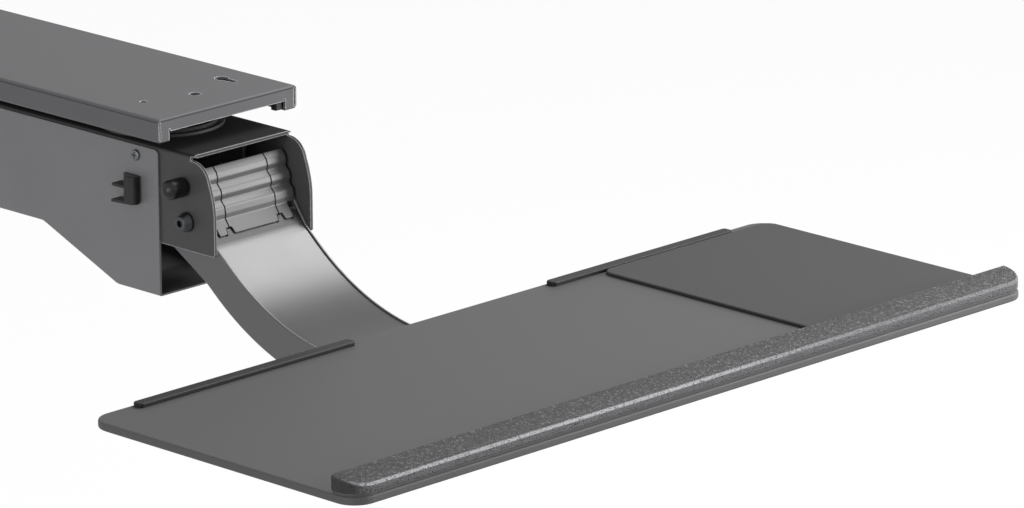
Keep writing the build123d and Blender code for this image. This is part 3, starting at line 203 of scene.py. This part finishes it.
class Look(Nodes):
    """One procedural material and the nodes that it is made of."""

    def __init__(self, name):
        self.material = bpy.data.materials.new(name)
        self.material.use_nodes = True
        super().__init__(self.material.node_tree)
        self.surface = self.tree.nodes["Principled BSDF"]
        self.place = self.node("ShaderNodeTexCoord").outputs["Object"]

    def stretched(self, scale):
        """Object coordinates scaled along each axis."""
        return self.node("ShaderNodeMapping", {"Vector": self.place, "Scale": scale}).outputs[0]

    def noise(self, scale, detail=3.0, roughness=0.55, place=None):
        inputs = {"Vector": place or self.place, "Scale": scale, "Detail": detail, "Roughness": roughness}
        return Value(self, self.node("ShaderNodeTexNoise", inputs).outputs["Fac"])

    def cells(self, scale, feature="F1"):
        inputs = {"Vector": self.place, "Scale": scale}
        return Value(self, self.node("ShaderNodeTexVoronoi", inputs, feature=feature).outputs["Distance"])

    def axis(self, name):
        """Object coordinate along one axis."""
        return Value(self, self.node("ShaderNodeSeparateXYZ", {"Vector": self.place}).outputs[name])

    def facing(self, name):
        """Surface direction along one axis."""
        normal = self.node("ShaderNodeNewGeometry").outputs["Normal"]
        return Value(self, self.node("ShaderNodeSeparateXYZ", {"Vector": normal}).outputs[name])

    def wave(self, name, period):
        """Threads across one axis, from 0 to 1."""
        turn = self.axis(name) * (2 * math.pi / period)
        return turn.sine() * 0.5 + 0.5

    def blend(self, share, first, second):
        """Colour that goes from the first to the second."""
        node = self.node("ShaderNodeMix", data_type="RGBA")
        self.feed(node.inputs["Factor"], share)
        for name, colour in (("A", first), ("B", second)):
            slot = [item for item in node.inputs if item.name == name and item.type == "RGBA"][0]
            self.feed(slot, colour)
        return [item for item in node.outputs if item.type == "RGBA"][0]

    def edges(self, radius):
        """Share of the convex edges, for rubbed wear and for painted edge light: the bevelled normal leaves
        the true one there.
        """
        bevel = self.node("ShaderNodeBevel", {"Radius": radius}, samples=6)
        geometry = self.node("ShaderNodeNewGeometry")
        dot = self.node("ShaderNodeVectorMath", operation="DOT_PRODUCT")
        self.feed(dot.inputs[0], bevel.outputs[0])
        self.feed(dot.inputs[1], geometry.outputs["Normal"])
        return (1 - Value(self, dot.outputs["Value"])).ramp(0.01, 0.16)

    def relief(self, height, distance, strength=1.0, radius=0.0):
        """Bump from a height, over softly rounded edges."""
        inputs = {"Height": height, "Distance": distance, "Strength": strength}
        if radius:
            inputs["Normal"] = self.node("ShaderNodeBevel", {"Radius": radius}, samples=6).outputs[0]
        self.feed(self.surface.inputs["Normal"], self.node("ShaderNodeBump", inputs).outputs[0])

    def set(self, **inputs):
        for name, value in inputs.items():
            self.feed(self.surface.inputs[name.replace("_", " ")], value)
        return self.material


# Finishes
def grey(level, warm=0.0):
    """Colour of a linear grey level, a little cool unless warmed."""
    return (level * (1 + warm), level, level * (1.03 - warm), 1.0)


def powder_coat(name, tone, rough=0.42, grain=900.0, painted_shade_share=None, dark_tone=0.02, edge_rub_and_light=5.5, shine=0.5):
    """Powder coat with orange peel; its edges rubbed and painted lighter as a highlight when the edge gain is
    above one, painted darker as shade when it is below; painted shade where a share asks for it.
    """
    look = Look(name)
    peel = look.noise(grain, 2.0)
    cloud = look.noise(14.0, 4.0)
    # Edge mask: rubbed wear together with painted edge light, lighter or darker as the edge gain sets
    edge_wear_and_light = look.edges(0.0013) * look.noise(160.0, 3.0).ramp(0.15, 0.5)
    base = look.blend(cloud, grey(tone * 0.88), grey(tone * 1.14))
    roughness = rough + (cloud - 0.5) * 0.12 + peel * 0.05
    if painted_shade_share:
        dark = painted_shade_share(look)
        # Painted shade: side faces dark and upward faces darker still, as in the shadow under the track
        painted_shade = look.blend(look.facing("Z").ramp(0.4, 0.8), grey(dark_tone * 2.6), grey(dark_tone * 0.4))
        base = look.blend(dark, base, painted_shade)
        roughness = roughness + dark * 0.4
    look.relief(peel, 0.00012, 0.35, 0.0006)
    return look.set(Base_Color=look.blend(edge_wear_and_light, base, grey(tone * edge_rub_and_light)), Roughness=roughness,
                    Specular_IOR_Level=shine)


def bracket_inside_shade(look):
    """Share of the bracket between its side plates, where shade is painted dark."""
    return 1 - look.axis("X").size().above(BRACKET_INNER_HALF)


def track_groove_shade(look):
    """Share of the painted shade line on the track's sides just under its top edge, where no groove is
    modelled.
    """
    level = look.axis("Z")
    painted_shade = level.below(TRACK_SHADE_HIGH) * level.above(TRACK_SHADE_LOW)
    return painted_shade * look.facing("Z").size().below(0.5)


def plated_steel(name, tone, rough=0.3, blue=0.02):
    """Zinc plate: bright spangle and fine scratches."""
    look = Look(name)
    spangle = look.noise(240.0, 3.0)
    scratch = look.noise(60.0, 2.0, place=look.stretched((1.0, 22.0, 22.0)))
    # Edges rubbed and painted brighter as a highlight
    edge_wear_and_light = look.edges(0.0004)
    base = look.blend(spangle, grey(tone * 0.8, -blue), grey(tone * 1.15, -blue))
    look.relief(scratch, 0.00006, 0.4, 0.0003)
    return look.set(Base_Color=look.blend(edge_wear_and_light, base, grey(tone * 1.3)), Metallic=1.0,
                    Roughness=rough + scratch * 0.16)


def moulded(name, tone, rough=0.5, grain=700.0, depth=0.0001, shine=0.5):
    """Moulded plastic: fine spark-eroded grain and faint flow marks."""
    look = Look(name)
    texture = look.noise(grain, 3.0)
    flow = look.noise(30.0, 2.0, place=look.stretched((1.0, 3.0, 1.0)))
    # Edges rubbed and painted lighter as a highlight
    edge_wear_and_light = look.edges(0.0006)
    base = look.blend(flow, grey(tone * 0.85), grey(tone * 1.2))
    look.relief(texture, depth, 0.5, 0.0005)
    return look.set(Base_Color=look.blend(edge_wear_and_light, base, grey(tone * 2.4)), Roughness=rough + texture * 0.12,
                    Specular_IOR_Level=shine)


def rubber(name, tone):
    """Rubber: dusty, matt, with fine pits."""
    look = Look(name)
    pits = look.cells(1500.0)
    dust = look.noise(80.0, 4.0).ramp(0.45, 0.75)
    look.relief(pits, 0.0001, 0.4, 0.0004)
    return look.set(Base_Color=look.blend(dust, grey(tone), grey(tone * 2.2)), Roughness=0.72 + dust * 0.15)


def lacquer(name, tone):
    """Gloss lacquer of the gas spring: thin orange peel under a clear coat."""
    look = Look(name)
    peel = look.noise(350.0, 2.0)
    haze = look.noise(25.0, 3.0)
    look.relief(peel, 0.00005, 0.3)
    return look.set(Base_Color=look.blend(haze, grey(tone), grey(tone * 1.5)), Roughness=0.22 + haze * 0.1,
                    Coat_Weight=0.6)


def chrome(name):
    """Hard chrome of the rod: an oil film and faint rings from its strokes."""
    look = Look(name)
    film = look.noise(45.0, 4.0)
    rings = look.noise(30.0, 2.0, place=look.stretched((1.0, 40.0, 1.0)))
    look.relief(rings, 0.00002, 0.3)
    return look.set(Base_Color=look.blend(film, grey(0.5), grey(0.68)), Metallic=1.0,
                    Roughness=0.06 + film * 0.12)


def laminate(name, tone):
    """Satin laminate of the board: fine pearl texture, faint wipe marks, darker machined sides and a painted
    highlight along its edges.
    """
    look = Look(name)
    pearl = look.noise(1300.0, 2.0)
    wipe = look.noise(7.0, 5.0, place=look.stretched((1.0, 2.6, 1.0)))
    upper = look.facing("Z").ramp(0.4, 0.8)
    # Painted highlight along the board's edges
    edge_highlight = look.edges(0.0007)
    face = look.blend(wipe, grey(tone * 0.93), grey(tone * 1.08))
    base = look.blend(upper, grey(tone * 0.95), face)
    look.relief(pearl, 0.00008, 0.35, 0.0006)
    return look.set(Base_Color=look.blend(edge_highlight * 0.4, base, grey(tone * 2.0)),
                    Roughness=0.52 + wipe * 0.08 + pearl * 0.05, Specular_IOR_Level=0.3)


def leatherette(name, tone):
    """Grained leatherette: pebbles parted by creases, painted glints on top, sides painted lighter than the
    top, a painted highlight along the front roll and painted shade on the left end.
    """
    look = Look(name)
    pebble = look.cells(700.0)
    crease = look.cells(700.0, "DISTANCE_TO_EDGE").ramp(0.02, 0.16)
    fine = look.noise(1900.0, 3.0)
    patches = look.noise(120.0, 3.0)
    upward = look.facing("Z")
    # Painted glints of the grain on the upward faces
    top_glint = look.noise(430.0, 3.0, 0.7).ramp(0.50, 0.64) * upward.ramp(0.3, 0.8)
    height = crease * (1 - pebble * 0.5) + fine * 0.15
    # Side faces painted much lighter than the top, as lit from the front
    face = look.blend(upward.ramp(0.85, 0.95), grey(tone * 4.2), grey(tone * 0.9))
    top = look.blend((1 - pebble).ramp(0.35, 0.95) * patches.ramp(0.25, 0.75), face, grey(tone * 1.9))
    # Painted highlight along the rolled front edge, fading towards the right end as the light does
    roll_highlight = upward.ramp(0.15, 0.3) * (1 - upward.ramp(0.74, 0.84)) * look.noise(700.0, 2.0).ramp(0.3, 0.55)
    roll_highlight = roll_highlight * (1 - look.axis("X").ramp(*PALM_ROLL_HIGHLIGHT_FADE) * 0.8)
    grain = look.blend(crease, grey(tone * 0.6), look.blend(top_glint * 0.75, top, grey(tone * 6.5)))
    with_roll_highlight = look.blend(roll_highlight, grain, grey(tone * 11.0))
    # Painted shade on the left end faces
    left_end_shade = (-look.facing("X")).ramp(0.4, 0.8)
    look.relief(height, 0.0003, 0.7)
    return look.set(Base_Color=look.blend(left_end_shade * 0.85, with_roll_highlight, grey(tone * 0.3)),
                    Roughness=0.5 + pebble * 0.2 + fine * 0.08, Specular_IOR_Level=0.3)


def woven(name, tone):
    """Fine woven cloth of the mouse mat, with lint and darker gaps between its threads."""
    look = Look(name)
    warp = look.wave("X", THREAD)
    weft = look.wave("Y", THREAD)
    lint = look.noise(600.0, 4.0)
    height = warp * 0.5 + weft * 0.5 + lint * 0.3
    base = look.blend(warp * weft, grey(tone * 0.8), grey(tone * 1.12))
    look.relief(height, 0.0001, 0.5)
    return look.set(Base_Color=look.blend(lint.ramp(0.5, 0.75) * 0.4, base, grey(tone * 1.5)),
                    Roughness=0.72 + lint * 0.12, Specular_IOR_Level=0.3)


def foam_edge(name, tone):
    """Cut rubber edge of the mat: dark, open pores."""
    look = Look(name)
    pores = look.cells(1400.0)
    look.relief(pores, 0.0002, 0.6)
    return look.set(Base_Color=look.blend(pores, grey(tone * 0.6), grey(tone * 1.6)),
                    Roughness=0.8 + pores * 0.1)


def finish(node_names, material):
    """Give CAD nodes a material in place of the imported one."""
    for name in node_names:
        node = NODES[name]
        node.data.materials.clear()
        node.data.materials.append(material)


def link_mesh(name, mesh, body, replaced):
    """Put a finished mesh in the scene as the visible form of a CAD node."""
    piece = bpy.data.objects.new(name, mesh)
    bpy.context.scene.collection.objects.link(piece)
    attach(piece, body)
    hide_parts(replaced)
    return piece


# Shapes
def rounded_plan(low, high, radius, steps):
    """Corners of a rounded rectangle, anticlockwise from its front right corner."""
    points = []
    corners = ((high[0] - radius, low[1] + radius, -90), (high[0] - radius, high[1] - radius, 0),
               (low[0] + radius, high[1] - radius, 90), (low[0] + radius, low[1] + radius, 180))
    for x, y, start in corners:
        for step in range(steps + 1):
            angle = math.radians(start + 90 * step / steps)
            points.append((x + radius * math.cos(angle), y + radius * math.sin(angle)))
    return points


def bar_plan(low, high, inset, front_radius, rear_radius):
    """Plan of the palm rest drawn in by an inset, anticlockwise from its front right corner."""
    points = []
    corners = ((high[0], low[1], -1, 1, front_radius, -90), (high[0], high[1], -1, -1, rear_radius, 0),
               (low[0], high[1], 1, -1, rear_radius, 90), (low[0], low[1], 1, 1, front_radius, 180))
    for x, y, side_x, side_y, full, start in corners:
        radius = max(full - inset, PALM_LEAST_CORNER)
        centre = (x + side_x * (inset + radius), y + side_y * (inset + radius))
        for step in range(PALM_CORNER_STEPS + 1):
            angle = math.radians(start + 90 / PALM_CORNER_STEPS * step)
            points.append((centre[0] + radius * math.cos(angle), centre[1] + radius * math.sin(angle)))
    side = PALM_CORNER_STEPS + 1
    runs = {side - 1: PALM_END_PARTS, 2 * side - 1: PALM_RUN_PARTS, 3 * side - 1: PALM_END_PARTS,
            4 * side - 1: PALM_RUN_PARTS}
    dense = []
    for index, (before, after) in enumerate(zip(points, points[1:] + points[:1])):
        count = runs.get(index, 1)
        for part in range(count):
            dense.append(tuple(start + (end - start) * part / count for start, end in zip(before, after)))
    return dense


def bar_top(x, y, low, high, puff):
    """Height of the palm rest's top over a place: a rising, crowned and slightly uneven cushion."""
    share = min(max((y - low[1]) / (high[1] - low[1]), 0.0), 1.0)
    height = high[2] - low[2]
    fast, slow = PALM_UNEVEN_TURNS
    uneven = PALM_UNEVEN * math.sin(x * fast) * math.sin(x * slow + 1.0)
    crown = puff * 4 * share * (1 - share)
    return low[2] + height * (PALM_FRONT_SHARE + PALM_RISE_SHARE * share + crown) + uneven


def palm_bar(low, high, puff):
    """Build the cushion from rings: a straight wall, a rolled edge, the seam beside it and the top."""
    rings = [(PALM_FOOT, "base", 0.0), (0.0, "base", PALM_FOOT_RISE),
             (0.0, "top", -PALM_ROLL - PALM_WALL_END)]
    for step in range(PALM_ROLL_STEPS + 1):
        angle = math.radians(90 / PALM_ROLL_STEPS * step)
        rings.append((PALM_ROLL * (1 - math.cos(angle)), "top", PALM_ROLL * (math.sin(angle) - 1)))
    rings += [(PALM_ROLL + setback, "top", drop) for setback, drop in PALM_SEAM]
    seam_end = rings[-1][0]
    ridge_run = (high[1] - low[1]) / 2 - seam_end - PALM_RIDGE_HALF
    for part in range(1, PALM_TOP_RINGS + 1):
        rings.append((seam_end + ridge_run * part / PALM_TOP_RINGS, "top", 0.0))
    mesh = bmesh.new()
    loops = []
    for inset, kind, shift in rings:
        loop = []
        for x, y in bar_plan(low, high, inset, PALM_FRONT_CORNER, PALM_REAR_CORNER):
            level = low[2] if kind == "base" else bar_top(x, y, low, high, puff)
            loop.append(mesh.verts.new((x, y, level + shift)))
        loops.append(loop)
    for lower, upper in zip(loops, loops[1:]):
        for index in range(len(lower)):
            after = (index + 1) % len(lower)
            mesh.faces.new((lower[index], lower[after], upper[after], upper[index])).smooth = True
    mesh.faces.new(loops[0][::-1])
    ridge = loops[-1]
    half = len(ridge) // 2
    end = half - PALM_RUN_PARTS
    mesh.faces.new(ridge[:end + 1])
    mesh.faces.new(ridge[half:half + end + 1])
    for step in range(PALM_RUN_PARTS):
        front = half + end + step
        corners = (front, (front + 1) % len(ridge), half - 1 - step, half - step)
        mesh.faces.new([ridge[corner] for corner in corners]).smooth = True
    data = bpy.data.meshes.new("palm_rest_foam")
    mesh.to_mesh(data)
    mesh.free()
    piece = bpy.data.objects.new("palm_rest_foam", data)
    bpy.context.scene.collection.objects.link(piece)
    return piece


# Pieces
class TRAY_OT_track(bpy.types.Operator):
    """Finish the track and its rear stop"""
    bl_idname = "tray.track"
    bl_label = "Track"

    def execute(self, context):
        tone = context.scene.tray_look.coat_tone
        # Track: edges rubbed and painted bright as a highlight, with a painted shade line under its top edge
        finish(["track"], powder_coat("track_coat", tone * 1.2, 0.56, painted_shade_share=track_groove_shade, edge_rub_and_light=7.0,
                                       shine=0.25))
        finish(["rear_stop"], powder_coat("stop_coat", tone * 0.5, 0.45))
        finish(["rear_buffers", "front_buffer"], rubber("buffer_rubber", 0.012))
        return {"FINISHED"}


class TRAY_OT_carriage(bpy.types.Operator):
    """Finish the carriage, its turntable and the fasteners"""
    bl_idname = "tray.carriage"
    bl_label = "Carriage and fasteners"

    def execute(self, context):
        inner = ["carriage_plate", "link_anchor", "arm_lever", "link_bars"]
        finish(inner, powder_coat("inner_coat", 0.05, 0.4))
        finish(["carriage_glides", "bearing_ring", "spring_spacers", "pivot_bushes", "head_spacers"],
               moulded("nylon", 0.016, 0.5))
        bright = ["rear_stop_screws", "glide_screws", "swivel_stud", "swivel_washer", "swivel_nut",
                  "anchor_screws", "link_pins_rear", "spring_pin_rear", "spring_pin_front", "head_pin",
                  "link_pins_front", "tilt_bolt", "tilt_washer", "tray_screws", "gas_gland", "rod_eye",
                  "pivot_tube"]
        finish(bright, plated_steel("zinc", 0.5))
        finish(["cover_screws"], plated_steel("screw_zinc", 0.16, 0.34))
        finish(["pivot_washer", "pivot_nut", "pivot_bolt"], plated_steel("dark_zinc", 0.075, 0.34))
        finish(["turntable_ring"], powder_coat("ring_coat", 0.012, 0.6, shine=0.2))
        return {"FINISHED"}


class TRAY_OT_housing(bpy.types.Operator):
    """Finish the bracket, the housing cover and the clip and knobs on them"""
    bl_idname = "tray.housing"
    bl_label = "Housing"

    def execute(self, context):
        tone = context.scene.tray_look.coat_tone
        # Bracket: edges rubbed and painted bright as a highlight, painted shade between its side plates
        finish(["bracket"], powder_coat("bracket_coat", tone * 0.65, 0.42, painted_shade_share=bracket_inside_shade, edge_rub_and_light=8.0,
                                        shine=0.2))
        # Housing cover: edges painted darker as shade lines
        finish(["housing_cover"], powder_coat("housing_coat", tone * 1.7, 0.40, edge_rub_and_light=0.25))
        finish(["cable_clip"], moulded("clip_plastic", 0.006, 0.4, shine=0.3))
        finish(["lock_knob", "tilt_knob"], moulded("knob_plastic", 0.006, 0.3, 500.0, 0.00005, 0.3))
        finish(["lock_stud"], plated_steel("stud_zinc", 0.5))
        return {"FINISHED"}


class TRAY_OT_arm(bpy.types.Operator):
    """Finish the curved arm, its covers, the head and the gas spring"""
    bl_idname = "tray.arm"
    bl_label = "Arm"

    def execute(self, context):
        tone = context.scene.tray_look.coat_tone
        carriers = ["arm_channel", "arm_bridge", "head_frame", "tray_bracket"]
        finish(carriers, powder_coat("arm_coat", tone, 0.40))
        # Arm cover and curl covers: edges painted darker as shade in the gaps beside them
        finish(["arm_cover"], powder_coat("cover_coat", tone * 0.35, 0.29, 1200.0, edge_rub_and_light=0.2))
        curls = ["curl_cover_centre", "curl_cover_left", "curl_cover_right"]
        finish(curls, powder_coat("curl_coat", tone * 1.1, 0.42, 1200.0, edge_rub_and_light=0.15))
        finish(["gas_cylinder"], lacquer("gas_lacquer", 0.012))
        finish(["gas_rod"], chrome("rod_chrome_look"))
        return {"FINISHED"}


class TRAY_OT_board(bpy.types.Operator):
    """Finish the board, its rear lips and the base of the palm rest"""
    bl_idname = "tray.board"
    bl_label = "Board"

    def execute(self, context):
        finish(["tray_board"], laminate("board_laminate", context.scene.tray_look.board_tone))
        finish(["rear_lip_left", "rear_lip_right"], moulded("lip_plastic", 0.009, 0.45, shine=0.2))
        finish(["palm_base"], moulded("palm_base_plastic", 0.035, 0.6))
        return {"FINISHED"}


class TRAY_OT_mat(bpy.types.Operator):
    """Build the mouse mat with its rolled cloth edge and cut rubber side"""
    bl_idname = "tray.mat"
    bl_label = "Mouse mat"

    def execute(self, context):
        look = context.scene.tray_look
        low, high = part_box("mouse_mat")
        base, top = low[2], high[2]
        rings = [(0.0, base), (0.0, base + (top - base) * 0.5)]
        rings += [(inset, top - drop) for inset, drop in MAT_ROLL]
        mesh = bmesh.new()
        loops = []
        for inset, z in rings:
            plan = rounded_plan((low[0] + inset, low[1] + inset), (high[0] - inset, high[1] - inset),
                                MAT_CORNER - inset, MAT_CORNER_STEPS)
            loops.append([mesh.verts.new((x, y, z)) for x, y in plan])
        for lower, upper in zip(loops, loops[1:]):
            for index in range(len(lower)):
                after = (index + 1) % len(lower)
                face = mesh.faces.new((lower[index], lower[after], upper[after], upper[index]))
                face.smooth = True
                face.material_index = 1 if lower is loops[0] or lower is loops[1] else 0
        mesh.faces.new(loops[-1])
        mesh.faces.new(loops[0][::-1]).material_index = 1
        data = bpy.data.meshes.new("mouse_mat_cloth")
        mesh.to_mesh(data)
        mesh.free()
        data.materials.append(woven("mat_weave", look.board_tone * 0.75))
        data.materials.append(foam_edge("mat_edge", 0.006))
        link_mesh("mouse_mat_cloth", data, "tray", "mouse_mat")
        return {"FINISHED"}


class TRAY_OT_palm_rest(bpy.types.Operator):
    """Build the palm rest: a crowned foam bar under leatherette, with a rolled edge and a seam beside it"""
    bl_idname = "tray.palm_rest"
    bl_label = "Palm rest"

    def execute(self, context):
        look = context.scene.tray_look
        low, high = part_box("palm_rest")
        piece = palm_bar(low, high, look.palm_puff)
        piece.data.materials.append(leatherette("palm_leather", look.palm_tone))
        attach(piece, "tray")
        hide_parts("palm_rest")
        return {"FINISHED"}


# Studio
class TRAY_OT_studio(bpy.types.Operator):
    """Set up the floor, the soft lights, the white background and the camera"""
    bl_idname = "tray.studio"
    bl_label = "Studio"

    def execute(self, context):
        settings = context.scene.tray_look
        context.scene.view_settings.view_transform = "Standard"
        build_floor(settings.floor_drop)
        build_world(settings.room_light)
        for name, place, target, size, share in LIGHTS:
            area_light(name, place, target, size, settings.key_light * share)
        build_camera()
        return {"FINISHED"}


def background_look(look, base):
    """White to the camera and in reflections, and the plain surface for light."""
    shadow = look.node("ShaderNodeBsdfDiffuse", {"Color": (base, base, base, 1.0)})
    white = look.node("ShaderNodeEmission", {"Color": WHITE, "Strength": 1.0})
    shader = look.mixed(look.seen() * BACKGROUND_SHARE, shadow.outputs[0], white.outputs[0])
    look.feed(look.tree.nodes["Material Output"].inputs["Surface"], shader)
    return look.material


def build_floor(drop):
    """Large pale floor under the object."""
    mesh = bpy.data.meshes.new("floor")
    corners = [(side_x * FLOOR_HALF, side_y * FLOOR_HALF, drop)
               for side_x, side_y in ((-1, -1), (1, -1), (1, 1), (-1, 1))]
    mesh.from_pydata(corners, [], [(0, 1, 2, 3)])
    floor = bpy.data.objects.new("floor", mesh)
    bpy.context.scene.collection.objects.link(floor)
    mesh.materials.append(background_look(Look("floor_look"), FLOOR_TONE))


def build_world(strength):
    """Even room light with a white background for the camera and for mirror-like surfaces."""
    world = bpy.data.worlds.new("studio")
    bpy.context.scene.world = world
    world.use_nodes = True
    world.node_tree.nodes.clear()
    sky = Nodes(world.node_tree)
    room = sky.node("ShaderNodeBackground", {"Color": ROOM_COLOUR, "Strength": strength})
    white = sky.node("ShaderNodeBackground", {"Color": WHITE, "Strength": 1.0})
    shader = sky.mixed(sky.seen(), room.outputs[0], white.outputs[0])
    sky.node("ShaderNodeOutputWorld", {"Surface": shader})


def area_light(name, place, target, size, power):
    """Soft square light aimed at a point."""
    data = bpy.data.lights.new(name, "AREA")
    data.shape = "SQUARE"
    data.size = size
    data.energy = power
    light = bpy.data.objects.new(name, data)
    light.location = place
    light.rotation_euler = (Vector(target) - Vector(place)).to_track_quat("-Z", "Y").to_euler()
    bpy.context.scene.collection.objects.link(light)


def build_camera():
    """Camera at the photograph's viewing angle, long lens from the front left, above the tray."""
    turn, dip, roll = (math.radians(angle) for angle in (CAMERA_TURN, CAMERA_DIP, CAMERA_ROLL))
    forward = Vector((math.sin(turn) * math.cos(dip), math.cos(turn) * math.cos(dip), -math.sin(dip)))
    right = Vector((math.cos(turn), -math.sin(turn), 0.0))
    upward = right.cross(forward)
    tilted_right = right * math.cos(roll) + upward * math.sin(roll)
    tilted_up = upward * math.cos(roll) - right * math.sin(roll)
    data = bpy.data.cameras.new("camera")
    data.sensor_fit = "HORIZONTAL"
    data.sensor_width = 36.0
    data.lens = CAMERA_FOCUS_SHARE * data.sensor_width
    data.clip_end = 60.0
    camera = bpy.data.objects.new("camera", data)
    rotation = Matrix((tilted_right, tilted_up, -forward)).transposed().to_4x4()
    camera.matrix_world = Matrix.Translation(CAMERA_PLACE) @ rotation
    bpy.context.scene.collection.objects.link(camera)
    bpy.context.scene.camera = camera


class TrayLook(bpy.types.PropertyGroup):
    coat_tone: bpy.props.FloatProperty(name="Coat tone", description="Linear grey of the powder coat",
                                       default=0.07, min=0.0, max=1.0)
    board_tone: bpy.props.FloatProperty(name="Board tone", description="Linear grey of the board's laminate",
                                        default=0.06, min=0.0, max=1.0)
    palm_tone: bpy.props.FloatProperty(name="Palm rest tone", description="Linear grey of the leatherette",
                                       default=0.028, min=0.0, max=1.0)
    palm_puff: bpy.props.FloatProperty(name="Palm rest crown",
                                       description="Share of its height that the bar is crowned",
                                       default=0.055, min=0.0, max=0.5)
    floor_drop: bpy.props.FloatProperty(name="Floor level",
                                        description="Height of the floor from the track's top",
                                        default=-0.62, unit="LENGTH")
    room_light: bpy.props.FloatProperty(name="Room light", description="Strength of the even room light",
                                        default=0.42, min=0.0)
    key_light: bpy.props.FloatProperty(name="Key light", description="Power of the main soft light",
                                       default=60.0, min=0.0, unit="POWER")


class TRAY_PT_panel(bpy.types.Panel):
    bl_label = "Keyboard tray"
    bl_idname = "TRAY_PT_panel"
    bl_space_type = "VIEW_3D"
    bl_region_type = "UI"
    bl_category = "Tray"

    def draw(self, context):
        for name in TrayLook.__annotations__:
            self.layout.prop(context.scene.tray_look, name)
        for step in STEPS:
            self.layout.operator(step.bl_idname)


STEPS = (TRAY_OT_track, TRAY_OT_carriage, TRAY_OT_housing, TRAY_OT_arm, TRAY_OT_board, TRAY_OT_mat,
         TRAY_OT_palm_rest, TRAY_OT_studio)
CLASSES = (TrayLook, *STEPS, TRAY_PT_panel)


def register():
    for item in CLASSES:
        bpy.utils.register_class(item)
    bpy.types.Scene.tray_look = bpy.props.PointerProperty(type=TrayLook)


def unregister():
    del bpy.types.Scene.tray_look
    for item in reversed(CLASSES):
        bpy.utils.unregister_class(item)


def main():
    register()
    bpy.ops.tray.track()
    bpy.ops.tray.carriage()
    bpy.ops.tray.housing()
    bpy.ops.tray.arm()
    bpy.ops.tray.board()
    bpy.ops.tray.mat()
    bpy.ops.tray.palm_rest()
    bpy.ops.tray.studio()


if __name__ == "__main__":
    main()
